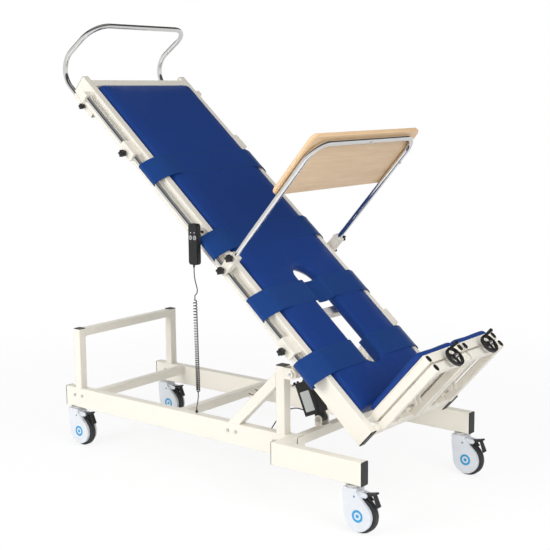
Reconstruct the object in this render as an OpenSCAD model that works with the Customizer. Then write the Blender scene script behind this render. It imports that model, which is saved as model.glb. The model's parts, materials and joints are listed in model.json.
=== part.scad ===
// Tilt table for physiotherapy: a long padded bed on a mobile base, tipped up by an electric actuator.
// Units are millimetres. +Z is up, the head end lies towards -X and the foot end towards +X.
// The bed is drawn in its own frame: X along the bed from the pivot towards the foot, Z square to it.

/* [Stance] */
// Tilt of the bed above the horizontal, as drawn
tilt = 41.4; // [30:0.2:50]
// Distance of the tilt pivot ahead of the origin
pivot_x = 362; // [340:1:400]
// Height of the tilt pivot above the floor
pivot_z = 562; // [555:1:575]

/* [Base frame] */
// Height of the underside of the base rails
base_under = 195; // [190:1:200]
// Height of a base rail
rail_h = 98; // [90:1:100]
// Width of a base rail
rail_w = 46; // [40:1:50]
// Wall of the square and rectangular tubes
tube_wall = 2.5; // [2:0.5:4]
// Outer corner radius of the tubes
tube_r = 4; // [3:0.5:5]
// Overall width across the rear rails
rear_base_w = 690; // [680:2:694]
// Overall width across the front rails
front_base_w = 916; // [900:2:940]
// Rear end of the rear rails behind the pivot
base_back = 1415; // [1400:5:1450]
// Front end of the rear rails ahead of the pivot
rear_rail_front = 31; // [25:1:40]
// Front rails start this far behind the pivot
front_rail_back = 20; // [10:1:30]
// Front end of the front rails ahead of the pivot
base_front = 428; // [400:2:440]
// Side of the square cross tubes
cross_s = 40; // [30:1:45]
// Middle cross tube behind the pivot
mid_cross_back = 661; // [600:5:700]
// Rear cross tube behind the pivot
rear_cross_back = 1231; // [1200:5:1250]

/* [Rest frame and posts] */
// Side of the square uprights that the bed comes down on
upright_s = 42; // [38:1:46]
// Top of the rest frame
rest_top = 590; // [570:1:592]
// Upright's rear face ahead of the rear rail end
upright_inset = 66; // [60:1:80]
// Height of the rest frame's top bar
rest_bar_h = 38; // [30:1:42]
// Side of the square pivot posts
post_s = 45; // [42:1:48]
// Post's front face behind the pivot
post_back = 37; // [35:1:40]
// Top of the pivot posts
post_top = 589; // [580:1:590]
// Slope of the braces
brace_slope = 44.5; // [40:0.5:50]
// Height at which a brace's top edge meets its post
brace_top = 560; // [540:1:565]
// Side of the square braces
brace_s = 45; // [40:1:46]
// Radius of the pivot ears
ear_r = 24; // [20:1:26]
// Thickness of a pivot ear
ear_t = 8; // [6:1:9]
// Radius of the pivot bolts
pivot_bolt_r = 10; // [8:0.5:12]

/* [Casters] */
// Diameter of a caster wheel
wheel_d = 150; // [140:2:152]
// Width of a caster wheel
wheel_w = 30; // [26:1:34]
// Distance of the axle behind the stem
trail = 39; // [35:1:42]
// Stem's distance from the end of its rail
stem_inset = 50; // [45:1:55]
// Width over the caster's cheeks
housing_w = 62; // [56:1:68]
// Radius of a cheek round the axle
cheek_r = 63; // [58:1:66]
// Half width of the caster's neck
neck_r = 32; // [30:1:34]
// Radius of the caster's stem
stem_r = 11; // [9:0.5:12]
// Thickness of the collar above the caster
collar_t = 10; // [8:0.5:12]
// Radius of the wheel axles
axle_r = 6; // [5:0.5:7]

/* [Actuator] */
// Middle of the actuator to the side
act_y = -125; // [-135:1:-120]
// Height of the lower clevis bolt above the front cross tube
clevis_rise = 29; // [27:1:34]
// Bed lug behind the pivot, along the bed
lug_back = 202; // [190:1:210]
// Bed lug below the pivot, square to the bed
lug_drop = 8; // [4:1:12]
// Length of the motor housing
motor_l = 150; // [130:2:156]
// Depth of the motor housing
motor_d = 86; // [80:1:90]
// Width of the motor housing
motor_w = 70; // [64:1:72]
// Outer radius of the actuator's tube
act_tube_r = 22; // [20:1:24]
// Radius of the actuator's rod
act_rod_r = 11; // [9:0.5:12]
// Length of the rod below its eye
act_rod_l = 230; // [220:2:236]
// Radius of the actuator's bolts
act_bolt_r = 6; // [5:0.5:8]

/* [Bed frame] */
// Length of the bed from the pivot to the head end
bed_head = 1737; // [1725:1:1745]
// Length of the bed from the pivot to the foot end
bed_foot = 420; // [418:1:426]
// Overall width across the side rails
bed_w = 700; // [690:2:706]
// Height of a side rail
bed_rail_h = 90; // [84:1:92]
// Width of a side rail
bed_rail_w = 39; // [36:1:42]
// Top of the side rails above the pivot
bed_top = 136; // [134:1:140]
// Side of the bed's cross tubes
bed_cross_s = 40; // [36:1:42]
// Head cross tube's end below the rail ends
head_cross_inset = 22; // [15:1:25]
// Thickness of the deck board
deck_t = 12; // [9:1:15]

/* [Cushion and straps] */
// Head end of the cushion from the pivot
cushion_head = 1672; // [1640:2:1674]
// Foot end of the cushion from the pivot
cushion_foot = 319; // [310:1:320]
// Thickness of the cushion at its edge
cushion_t = 46; // [40:1:50]
// Extra height of the cushion in its middle
crown = 5; // [3:0.5:8]
// Radius of the cushion's top edge
cushion_edge_r = 13; // [10:1:16]
// Head end of the leg slot behind the pivot
slot_head = 416; // [400:2:440]
// Foot end of the leg slot ahead of the pivot
slot_foot = 128; // [110:2:140]
// Width of the leg slot
slot_w = 104; // [90:2:120]
// Width of a strap
strap_w = 122; // [110:1:126]
// Thickness of a strap
strap_t = 3; // [2:0.5:4]
// Chest strap behind the pivot
chest_strap = 1110; // [1090:5:1130]
// Hip strap behind the pivot
hip_strap = 645; // [640:1:660]
// Knee strap behind the pivot
knee_strap = 285; // [275:5:300]
// Shin strap ahead of the pivot
shin_strap = 66; // [60:1:72]

/* [Grip rails] */
// Diameter of the grip rails
grip_d = 25; // [22:1:28]
// Gap between a grip rail and the side rail
grip_gap = 17.5; // [15:0.5:20]
// Height of the grip rails above the pivot
grip_n = 102; // [98:1:106]
// Head end of the grip rails
grip_head = 1650; // [1640:5:1680]
// Foot end of the grip rails
grip_foot = 118; // [110:2:124]
// Length of the long grip brackets
bracket_l = 88; // [80:1:95]
// Length of the end brackets
end_bracket_l = 26; // [20:1:28]
// Height of a grip bracket
bracket_h = 44; // [40:1:50]
// Upper bracket behind the pivot
upper_bracket = 1270; // [1255:5:1285]
// Lower bracket behind the pivot
lower_bracket = 70; // [62:1:78]
// Radius of the star knobs
knob_r = 17; // [14:1:20]
// Height of the star knobs
knob_h = 20; // [16:1:24]

/* [Footrest] */
// Outer edge of the foot pads from the middle
pad_outer = 280; // [270:1:284]
// Gap between the two foot pads
pad_gap = 16; // [12:1:20]
// Thickness of a foot pad
pad_t = 25; // [20:1:26]
// Length of a foot pad
pad_l = 345; // [330:1:350]
// Toe end of the pedal frames above the pivot
toe_n = 507; // [500:1:512]
// Depth of the pedal tubes
pedal_tube = 36; // [32:1:37]
// Width of the pedal tubes
pedal_tube_w = 26; // [22:1:30]
// Height of the pedal hinge above the pivot
hinge_n = 145; // [143:1:147]
// Radius of the pedal hinge barrels
barrel_r = 8; // [7:0.5:8]
// Radius of the pedal hinge pins
hinge_pin_r = 4; // [3:0.5:5]
// Radius of the pedal screws
screw_r = 7; // [5:0.5:8]
// Radius of the handwheels
handwheel_r = 43; // [38:1:46]
// Length of a handwheel's grip
wheel_grip_l = 46; // [40:1:50]
// Lift of a pedal at the end of its screw's travel
pedal_lift = 20; // [15:1:22]
// Travel of a pedal nut along its screw
nut_travel = 60; // [50:1:70]

/* [Desk] */
// Desk tube's distance behind the pivot
desk_back = 518; // [505:1:525]
// Diameter of the desk tube
desk_tube_d = 25; // [22:1:26]
// Top of the desk tube above the pivot
desk_bar_n = 828; // [800:2:850]
// Bend radius of the desk tube
desk_bend = 85; // [70:5:100]
// Width of the desk board
desk_w = 800; // [760:5:830]
// Depth of the desk board
desk_depth = 328; // [300:2:350]
// Thickness of the desk board
desk_t = 20; // [16:1:22]
// Corner radius of the desk board
desk_corner = 32; // [20:1:40]
// Height of a desk clamp
desk_clamp_h = 108; // [100:1:115]
// Size of a desk clamp along the rail
desk_clamp_l = 44; // [40:1:48]

/* [Push handle] */
// Diameter of the push handle's tube
handle_d = 25; // [22:1:26]
// Height of the push handle's legs above the pivot
handle_leg_n = 25; // [24:1:27]
// Middle of a handle leg to the side
handle_y = 322; // [318:1:326]
// Corner of the handle behind the pivot
handle_corner = 1927; // [1915:1:1935]
// Lower bend radius of the push handle
handle_bend = 105; // [95:1:107]
// Upper bend radius of the push handle
handle_top_bend = 100; // [90:5:110]
// Height of the handle's grip bar above its legs
handle_rise = 325; // [300:5:340]
// Length of a handle socket
socket_l = 150; // [130:5:160]

/* [Handset and cord] */
// Width of the handset
handset_w = 52; // [48:1:56]
// Thickness of the handset
handset_t = 26; // [22:1:30]
// Height of the handset
handset_h = 180; // [165:5:195]
// Handset's middle behind the pivot
handset_back = 470; // [465:1:480]
// Top of the handset above the grip rail
handset_over = 62; // [50:1:70]
// Diameter of the cord
cord_d = 4.5; // [4:0.5:5]
// Outer diameter of the curls
coil_d = 20; // [18:1:24]
// Number of curls
curls = 40; // [36:1:44]

/* [Hidden] */
$fn = 48;

cream = [0.93, 0.91, 0.84];
blue = [0.09, 0.2, 0.5];
chrome = [0.78, 0.8, 0.82];
black = [0.08, 0.08, 0.09];
beech = [0.85, 0.68, 0.45];
shell_white = [0.9, 0.91, 0.93];

// Overrun of a cut past the face that it opens, clearance of a running fit, and gap to a soft neighbour
over = 1;
brake_root_at = [0.6, 0.3];
knob_core_share = 0.72;
lobe_share = 0.32;
knob_neck_share = 0.5;
knob_cap_shares = [0.62, 0.4, 0.15];
rest_screw_share = 0.6;
post_screw_share = 0.8;
gland_tip_share = 0.8;
dot_share = 0.6;
rib_shares = [0.2, 0.15];
cushion_waist_share = 0.4;
pad_edge_share = 0.35;
spoke_share = 0.6;
grip_shares = [0.5, 0.12, 0.7, 0.8];
small_step = 1;
edge_step = 2;
case_step = 3;
bracket_inset = 4;
strap_dip = 1.5;
strap_dip_run = 40;
strap_dip_in = 4;
pad_crown = 2;
pad_waist_share = 0.4;
handset_gland_in = 6;
fit = 0.05;
soft_gap = 0.3;
side_gap = 0.5;
// Inset of a lever's flat behind its round ends, and how a bend is thinner than its tube and lapped by it
notch = 0.3;
bend_thin = 0.5;
bend_lap = 1;

// Base frame
rail_z = base_under + rail_h / 2;
rail_top = base_under + rail_h;
rear_rail_y = (rear_base_w - rail_w) / 2;
front_rail_y = (front_base_w - rail_w) / 2;
rear_face = rear_base_w / 2;
rear_inner = rear_face - rail_w;
front_inner = front_base_w / 2 - rail_w;
cross_z = rail_top - cross_s / 2;
front_cross_x = rear_rail_front - cross_s / 2;
clevis_z = rail_top + clevis_rise;
clevis_lug_t = 6;
clevis_lug_r = 18;
clevis_base_t = 6;
rest_x = -base_back + upright_inset + upright_s / 2;
post_x = -post_back - post_s / 2;
post_y = rear_face - post_s / 2;
brace_run = (brace_top - rail_top) / tan(brace_slope);
cap_t = 4;
cap_spigot = 12;
plug_t = 3;
screw_head_r = 7;
screw_head_t = 3.5;
screw_z = base_under + rail_h * 0.62;
pivot_head_r = 15;
pivot_head_t = 8;
act_head_r = 11;
act_head_t = 6;

// Casters
axle_z = wheel_d / 2;
neck_z = base_under - collar_t - neck_r - side_gap;
housing_top = base_under - collar_t - side_gap;
tyre_gap = 3;
wheel_side_gap = 1.5;
stem_depth = 27;
tread_r = 7;
ring_r = 21;
ring_in = 14;
dot_r = 4;
dot_rise = 78;
ring_depth = 0.8;
brake_x = 66;
brake_z = 160;
brake_lug_r = 9;
brake_lug_w = 36;
brake_root_r = 13;
brake_pin_r = 4;
brake_w = 22;
tread_end = [110, 174];
tread_end_r = 4.5;
toe_top = [101, 169];
toe_end = [119, 124];
toe_end_r = 5.5;
shoe_root = [72, 157];
brake_step = 1;
shoe_end = [87, 143];
shoe_r = 4;
CASTERS = [
    [-base_back + stem_inset, -rear_rail_y],
    [-base_back + stem_inset, rear_rail_y],
    [base_front - stem_inset, -front_rail_y],
    [base_front - stem_inset, front_rail_y]
];

// Actuator, worked out from its two pivots
lug_dx = -lug_back * cos(tilt) - lug_drop * sin(tilt);
lug_dz = lug_back * sin(tilt) - lug_drop * cos(tilt);
clevis_dx = 0;
act_dx = lug_dx - clevis_dx;
act_dz = pivot_z + lug_dz - clevis_z;
act_len = norm([act_dx, act_dz]);
act_lean = atan2(-act_dx, act_dz);
motor_z = 26;
motor_front = 24;
motor_r = 9;
act_tube_end = 268;
rod_play = 3.6;
act_bore_r = act_rod_r + rod_play;
act_bore_z = 60;
tongue_w = 44;
tongue_r = 15;
eye_w = 24;
eye_r = 15;
lug_t = 6;
lug_r = 16;
lug_gap = 0.5;
shoulder_h = 14;
rib_w = 3;
rib_count = 5;

// Bed frame
bed_under = bed_top - bed_rail_h;
bed_face = bed_w / 2;
bed_inner = bed_face - bed_rail_w;
bed_rail_y = bed_face - bed_rail_w / 2;
deck_n = bed_under + bed_cross_s;
cushion_n = deck_n + deck_t;
cushion_half = bed_inner - 1.5;
bed_crosses = [-chest_strap, -hip_strap + strap_w, -lug_back];
pivot_lug_t = 8;
pivot_lug_r = 22;
pivot_lug_top = 34;
pivot_lug_y = post_y - pivot_lug_t / 2;
foot_beam_w = 26;
foot_beam_h = 46;
foot_beam_u = bed_foot - foot_beam_w;

// Cushion outline: points on the foot and head ends, on each corner and on each side
end_steps = 6;
corner_steps = 3;
side_steps = 14;
cushion_corner = 22;
drawn_in = 4;
flat_inset = 70;
slot_outset = 30;
slot_half = slot_w / 2;
slot_cut_margin = 4;

// Grip rails
grip_r = grip_d / 2;
grip_y = bed_face + grip_gap + grip_r;
bracket_out = grip_y + grip_r + 6;
bracket_up = 18;
bracket_low = grip_n + bracket_up - bracket_h;
rail_knob_n = bracket_low + 9;
knob_lobes = 5;
knob_stud_r = 4;
knob_neck = 6;
strap_r = grip_r + soft_gap + strap_t / 2;
saddle_set = 8;
saddle_h = 20;
strap_crest = 240;
strap_wrap_end = -125;
strap_wrap_steps = 10;
strap_top = cushion_n + cushion_t + crown + strap_t / 2 + soft_gap;

// Footrest
pad_inner = pad_gap / 2;
pedal_w = pad_outer - pad_inner;
pedal_y = (pad_outer + pad_inner) / 2;
plate_t = 4;
pad_clear = 3;
pad_u = cushion_foot + pad_clear;
pedal_u = pad_u + pad_t + plate_t;
frame_gap = 10;
frame_u = pedal_u + pedal_tube - 1 + frame_gap;
pedal_heel_n = hinge_n - 12;
pad_heel_n = hinge_n + 5;
hinge_u = pedal_u + pedal_tube + 4;
hinge_ear_t = 4;
hinge_ear_r = 9;
barrel_l = 34;
tube_side_y = pedal_w / 2 - pedal_tube_w / 2;
screw_foot = [386, 160];
screw_head = [409, 541];
screw_axis = screw_head - screw_foot;
screw_len = norm(screw_axis);
screw_lean = atan2(screw_axis[0], screw_axis[1]);
bearing_w = 24;
bearing_t = 22;
nut_at = 40;
nut_l = 26;
nut_w = 26;
nut_side = 22;
nut_point = screw_foot + nut_at * [sin(screw_lean), cos(screw_lean)];
roller_r = 6;
roller_l = 8;
cam_t = 5;
cam_gap = 0.4;
cam_steps = 8;
cam_foot_n = hinge_n + 40;
cam_top_n = hinge_n + 175;
cam_y = nut_w / 2 + roller_l / 2;
handwheel_t = 12;
hub_r = 12;
hub_l = 14;
spoke_w = 9;
rim_w = 9;
wheel_grip_r = 8;
pedal_plug_t = 3;
toe_bar = 26;

// Desk
desk_leg_n = grip_n + grip_r + 12;
desk_clamp_low = grip_n - grip_r - 6;
desk_clamp_w = 40;
desk_clamp_r = 6;
desk_clamp_knob_n = grip_n;
desk_leg_knob_n = grip_n + 76;
desk_board_n = 532;
desk_screw_r = 3.5;
desk_tube_r = desk_tube_d / 2;
desk_edge_r = 4;
desk_screw_n = 684;
desk_screw_head = 6;

// Push handle
handle_lean = 13.6;
socket_wall = 3.5;
socket_r = handle_d / 2 + socket_wall;
socket_mouth = bed_head + 3;
socket_saddle_w = 22;
handle_in = 1606;
handle_knob_u = -1655;
handle_knob_r = 14;
handle_knob_h = 16;

// Handset, hung on the right grip rail by its hook
handset_x = -handset_back;
grip_at_handset_u = (handset_x - grip_n * sin(tilt)) / cos(tilt);
grip_at_handset_z = pivot_z - grip_at_handset_u * sin(tilt) + grip_n * cos(tilt);
handset_top = grip_at_handset_z + handset_over;
handset_back_y = -(grip_y + grip_r + 6);
handset_mid_y = handset_back_y - handset_t / 2;
handset_r = 12;
hook_w = 12;
hook_t = 3.5;
hook_rise = grip_r / cos(tilt) + hook_w / 2 * tan(tilt) + soft_gap;
hook_drop = 8;
hook_in_y = -(grip_y - grip_r - 5);
button_r = 7;
button_h = 3;
button_pocket = 4;
button_x = 12;
button_drop = 61;
button_stand = 1.5;

// Cord: the straight leads' points are chosen by hand, the curls come from a formula
lead_sides = 8;
curl_sides = 6;
rings_per_curl = 8;
curl_r = (coil_d - cord_d) / 2;
pitch_change = 0.07;
coil_top = [-480, -405, 846];
coil_bottom = [-539, -331, 390];
gland_at = [-566, -314];
gland_r = 7;
gland_h = 12;
handset_gland_r = 5;
handset_gland_h = 14;
handset_gland = [handset_x - handset_gland_in, handset_mid_y, handset_top - handset_h];
lead_gap = 0.8;
handset_gland_tip = handset_gland - [0, 0, handset_gland_h];
lead_top_route = [
    handset_gland_tip, handset_gland_tip - [0, 0, 1.5 * cord_d], [-475, -412, 952], [-471, -412.5, 929],
    [-465, -412, 906], [-461, -410, 888], [-464, -408, 872], [-472, -406, 862],
    [-479.5, -405, 857], [-480, -405, 852], coil_top + [0, 0, lead_gap]
];
lead_bottom_route = [
    coil_bottom - [0, 0, lead_gap], [-539, -331, 384.5], [-540, -330, 374], [-544, -328, 360],
    [-550, -324, 346], [-557, -319, 332], [-563, -316, 320], [-566, -314, 312], [-566, -314, 305]
];
cable_d = 5;
cable_route = [
    [-69, act_y - motor_w / 2 - soft_gap, 356], [-69, -166, 356], [-76, -172, 359], [-89, -177, 362],
    [-104, -184, 362], [-119, -194, 358], [-132, -208, 350], [-142, -226, 338], [-148, -246, 322],
    [-151, -264, 306], [-152, -279, 293], [-152, -287, 287], [-152, -293, 285],
    [-152, -rear_inner + soft_gap, 285]
];

function unit(v) = v / norm(v);
function along(a, b, t) = a + (b - a) * t;

// Rings of a tube swept along points, with a frame that is carried from point to point
function tangents(p) = [for (i = [0:len(p) - 1]) unit(p[min(i + 1, len(p) - 1)] - p[max(i - 1, 0)])];
function first_normal(t) = unit(cross(t, abs(t[2]) < 0.9 ? [0, 0, 1] : [0, 1, 0]));
function normals(t) = [
    for (i = 0, n = first_normal(t[0]);
         i < len(t);
         i = i + 1, n = i < len(t) ? unit(n - (n * t[i]) * t[i]) : n) n
];
function sweep_points(p, d, sides) =
    let (t = tangents(p), n = normals(t))
    [for (i = [0:len(p) - 1], k = [0:sides - 1])
        p[i] + d / 2 * (cos(360 * k / sides) * n[i] + sin(360 * k / sides) * cross(t[i], n[i]))];
function sweep_faces(rings, sides) = concat(
    [for (i = [0:rings - 2], k = [0:sides - 1])
        [i * sides + k, (i + 1) * sides + k, i * sides + (k + 1) % sides]],
    [for (i = [0:rings - 2], k = [0:sides - 1])
        [i * sides + (k + 1) % sides, (i + 1) * sides + k, (i + 1) * sides + (k + 1) % sides]],
    [for (k = [1:sides - 2]) [0, k, k + 1]],
    [for (k = [1:sides - 2]) [(rings - 1) * sides, (rings - 1) * sides + k + 1, (rings - 1) * sides + k]]
);
module swept_tube(points, d, sides) {
    polyhedron(sweep_points(points, d, sides), sweep_faces(len(points), sides));
}

// Curly cord: the curls are wider apart near the top, and both ends run straight
coil_axis = unit(coil_bottom - coil_top);
coil_side = unit(cross(coil_axis, [0, 1, 0]));
coil_front = cross(coil_axis, coil_side);
coil_start = coil_top + coil_axis * cord_d;
coil_end = coil_bottom - coil_axis * cord_d;
coil_rings = curls * rings_per_curl;
function curl_share(t) = t + pitch_change * sin(180 * t);
function curl_reach(i) = curl_r * min(1, i / rings_per_curl, (coil_rings - i) / rings_per_curl);
curl_points = [
    for (i = [0:coil_rings])
        let (t = i / coil_rings, a = 360 * i / rings_per_curl)
        along(coil_start, coil_end, curl_share(t))
            + curl_reach(i) * (cos(a) * coil_side + sin(a) * coil_front)
];
coil_points = concat([coil_top], curl_points, [coil_bottom]);
curl_gap = min([
    for (i = [0:coil_rings - rings_per_curl + 1],
         j = [i + rings_per_curl - 1:min(coil_rings, i + rings_per_curl + 1)])
        norm(curl_points[i] - curl_points[j])
]) - cord_d;
echo(least_gap_between_curls = curl_gap);

// Frames in which the pieces are placed
module base_pose() {
    translate([pivot_x, 0, 0]) children();
}
module bed_pose() {
    translate([pivot_x, 0, pivot_z]) rotate([0, tilt, 0]) children();
}
module both_sides() {
    children();
    mirror([0, 1, 0]) children();
}
module sided(side) {
    if (side > 0) children();
    else mirror([0, 1, 0]) children();
}
module along_y(y0, y1) {
    translate([0, y1, 0]) rotate([90, 0, 0]) linear_extrude(y1 - y0) children();
}
module along_x(x0, x1) {
    translate([x0, 0, 0]) rotate([90, 0, 90]) linear_extrude(x1 - x0) children();
}
module y_pin(x, z, r, y0, y1) {
    translate([x, y1, z]) rotate([90, 0, 0]) cylinder(r = r, h = y1 - y0);
}

module rounded_rect(w, h, r) {
    square([w - 2 * r, h], center = true);
    square([w, h - 2 * r], center = true);
    for (x = [-1, 1], y = [-1, 1]) translate([x * (w / 2 - r), y * (h / 2 - r)]) circle(r);
}
module tube_outline(w, h) {
    difference() {
        rounded_rect(w, h, tube_r);
        square([w - 2 * tube_wall, h - 2 * tube_wall], center = true);
    }
}
// Flat bar with two round ends of different radius, as a circle at each end and the tangents between
module tapered_bar(a, ra, b, rb, inset = 0) {
    d = norm(b - a);
    turn = atan2(b[1] - a[1], b[0] - a[0]);
    spread = acos((ra - rb) / d);
    translate(a) circle(ra);
    translate(b) circle(rb);
    polygon([
        a + (ra - inset) * [cos(turn + spread), sin(turn + spread)],
        b + (rb - inset) * [cos(turn + spread), sin(turn + spread)],
        b + (rb - inset) * [cos(turn - spread), sin(turn - spread)],
        a + (ra - inset) * [cos(turn - spread), sin(turn - spread)]
    ]);
}
module star(r, lobes) {
    circle(r * knob_core_share);
    for (i = [0:lobes - 1]) rotate(360 * i / lobes)
        translate([r * (1 - lobe_share), 0]) circle(r * lobe_share);
}
// Star knob on a stud, standing out towards -Y from the origin
module star_knob(r, h, stud_l) {
    rotate([90, 0, 0]) {
        cylinder(r = knob_stud_r, h = stud_l);
        translate([0, 0, stud_l - knob_neck]) cylinder(r = r * knob_neck_share, h = knob_neck);
        translate([0, 0, stud_l]) linear_extrude(h) star(r, knob_lobes);
        translate([0, 0, stud_l + h])
            cylinder(r1 = r * knob_cap_shares[0], r2 = r * knob_cap_shares[1], h = h * knob_cap_shares[2]);
    }
}
// Round bar from a to b, turned about its own axis to face z
module bar(a, b, d, z) {
    v = unit(b - a);
    x = cross(v, z);
    multmatrix([
        [x[0], z[0], v[0], a[0]],
        [x[1], z[1], v[1], a[1]],
        [x[2], z[2], v[2], a[2]],
        [0, 0, 0, 1]
    ]) rotate(180) cylinder(d = d, h = norm(b - a));
}
// Elbow at corner p1 of the path p0, p1, p2
module elbow(p0, p1, p2, r, d) {
    u1 = unit(p1 - p0);
    u2 = unit(p2 - p1);
    turn = acos(u1 * u2);
    z = unit(cross(u1, u2));
    inward = cross(z, u1);
    c = p1 - u1 * r * tan(turn / 2) + inward * r;
    multmatrix([
        [-inward[0], u1[0], z[0], c[0]],
        [-inward[1], u1[1], z[1], c[1]],
        [-inward[2], u1[2], z[2], c[2]],
        [0, 0, 0, 1]
    ]) rotate_extrude(angle = turn) translate([r, 0]) circle(d = d);
}
function bend_cut(p, i, r) =
    i == 0 || i == len(p) - 1 ? 0
    : r[i] * tan(acos(unit(p[i] - p[i - 1]) * unit(p[i + 1] - p[i])) / 2);
// Tube bent round the corners of path p, with bend radius r[i] at corner i
module bent_tube(p, r, d) {
    for (i = [0:len(p) - 2]) {
        run = unit(p[i + 1] - p[i]);
        j = max(i, 1);
        z = unit(cross(p[j] - p[j - 1], p[j + 1] - p[j]));
        lap0 = i == 0 ? 0 : bend_lap;
        lap1 = i == len(p) - 2 ? 0 : bend_lap;
        bar(p[i] + run * (bend_cut(p, i, r) - lap0), p[i + 1] - run * (bend_cut(p, i + 1, r) - lap1), d, z);
    }
    for (i = [1:len(p) - 2]) elbow(p[i - 1], p[i], p[i + 1], r[i], d - bend_thin);
}

// Base
module base_side_rails() {
    color(cream) base_pose() both_sides() {
        translate([0, -rear_rail_y, rail_z])
            along_x(-base_back, rear_rail_front) tube_outline(rail_w, rail_h);
        translate([0, -front_rail_y, rail_z])
            along_x(-front_rail_back, base_front) tube_outline(rail_w, rail_h);
    }
}
module cross_tube(x) {
    translate([x, 0, cross_z]) along_y(-rear_inner, rear_inner) tube_outline(cross_s, cross_s);
}
module clevis_lug() {
    difference() {
        union() {
            translate([0, clevis_z - rail_top]) circle(clevis_lug_r);
            translate([-clevis_lug_r, 0]) square([2 * clevis_lug_r, clevis_z - rail_top]);
        }
        translate([0, clevis_z - rail_top]) circle(act_bolt_r + fit);
    }
}
module base_cross_tubes() {
    lug_y = tongue_w / 2 + lug_gap;
    base_w = 2 * (lug_y + clevis_lug_t);
    color(cream) base_pose() {
        cross_tube(-rear_cross_back);
        cross_tube(-mid_cross_back);
        cross_tube(front_cross_x);
        both_sides() translate([0, 0, rail_z])
            along_y(rear_face, front_inner)
            translate([(rear_rail_front - front_rail_back) / 2, 0])
            tube_outline(rear_rail_front + front_rail_back, rail_h);
        translate([0, act_y, rail_top]) {
            along_y(-lug_y - clevis_lug_t, -lug_y) clevis_lug();
            along_y(lug_y, lug_y + clevis_lug_t) clevis_lug();
            translate([-clevis_lug_r, -base_w / 2, 0])
                cube([front_cross_x + cross_s / 2 + clevis_lug_r, base_w, clevis_base_t]);
        }
    }
}
module rest_frame() {
    color(cream) base_pose() {
        both_sides() translate([rest_x, -rear_face + upright_s / 2, rail_top])
            linear_extrude(rest_top - rail_top) tube_outline(upright_s, upright_s);
        translate([rest_x, 0, rest_top - rest_bar_h / 2])
            along_y(-rear_face + upright_s, rear_face - upright_s) tube_outline(upright_s, rest_bar_h);
    }
}
module pivot_ear() {
    difference() {
        union() {
            circle(ear_r);
            translate([-post_back, -ear_r]) square([post_back, 2 * ear_r]);
        }
        circle(pivot_bolt_r + fit);
    }
}
module pivot_posts() {
    color(cream) base_pose() both_sides() {
        translate([post_x, -post_y, rail_top])
            linear_extrude(post_top - rail_top) tube_outline(post_s, post_s);
        translate([0, 0, pivot_z]) {
            along_y(-rear_face, -rear_face + ear_t) pivot_ear();
            along_y(-rear_face + post_s - ear_t, -rear_face + post_s) pivot_ear();
        }
    }
}
module post_braces() {
    reach = 2 * brace_run;
    color(cream) base_pose() both_sides() intersection() {
        translate([post_x - post_s / 2, -rear_face + brace_s / 2, brace_top])
            rotate([0, 180 - brace_slope, 0])
            translate([0, 0, brace_s / 2])
            along_x(-reach, reach) tube_outline(brace_s, brace_s);
        translate([post_x - post_s / 2 - reach, -rear_face, rail_top])
            cube([reach, brace_s, brace_top - rail_top]);
    }
}
// Plug of a tube's open end, standing out towards +Z, with a spigot into the tube
module tube_plug(w, h, t) {
    linear_extrude(t) rounded_rect(w, h, tube_r);
    translate([0, 0, -cap_spigot]) linear_extrude(cap_spigot)
        square([w - 2 * tube_wall - side_gap, h - 2 * tube_wall - side_gap], center = true);
}
module base_end_caps() {
    color(black) base_pose() both_sides() {
        translate([-base_back, -rear_rail_y, rail_z]) rotate([0, -90, 0]) tube_plug(rail_h, rail_w, cap_t);
        translate([rear_rail_front, -rear_rail_y, rail_z]) rotate([0, 90, 0])
            tube_plug(rail_h, rail_w, plug_t);
        translate([base_front, -front_rail_y, rail_z]) rotate([0, 90, 0]) tube_plug(rail_h, rail_w, cap_t);
        translate([-front_rail_back, -front_rail_y, rail_z]) rotate([0, -90, 0])
            tube_plug(rail_h, rail_w, plug_t);
        translate([rest_x, -rear_face + upright_s / 2, rest_top]) tube_plug(upright_s, upright_s, plug_t);
        translate([post_x, -post_y, post_top]) tube_plug(post_s, post_s, plug_t);
    }
}
module rail_screw(x) {
    y_pin(x, screw_z, screw_head_r, -rear_face - screw_head_t, -rear_face);
}
module base_bolts() {
    brace_foot = post_x - post_s / 2 - brace_run;
    act_out = tongue_w / 2 + lug_gap + clevis_lug_t;
    color(chrome) base_pose() {
        both_sides() {
            rail_screw(rest_x - upright_s * rest_screw_share);
            rail_screw(rest_x + upright_s * rest_screw_share);
            rail_screw(brace_foot);
            rail_screw(brace_foot + brace_s);
            rail_screw(post_x - post_s * post_screw_share);
            y_pin(0, pivot_z, pivot_bolt_r, -rear_face, -rear_face + post_s + pivot_head_t);
            y_pin(0, pivot_z, pivot_head_r, -rear_face - pivot_head_t, -rear_face);
        }
        translate([0, act_y, 0]) {
            y_pin(0, clevis_z, act_bolt_r, -act_out, act_out + act_head_t);
            y_pin(0, clevis_z, act_head_r, -act_out - act_head_t, -act_out);
        }
    }
}
module caster_stems() {
    color(chrome) base_pose() for (p = CASTERS) translate([p[0], p[1], 0]) {
        translate([0, 0, base_under - collar_t]) cylinder(r = neck_r - edge_step, h = collar_t);
        translate([0, 0, housing_top - stem_depth])
            cylinder(r = stem_r, h = base_under - housing_top + stem_depth);
    }
}
module cord_gland() {
    color(black) base_pose() translate([gland_at[0], gland_at[1], rail_top])
        cylinder(r1 = gland_r, r2 = cord_d * gland_tip_share, h = gland_h);
}

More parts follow.
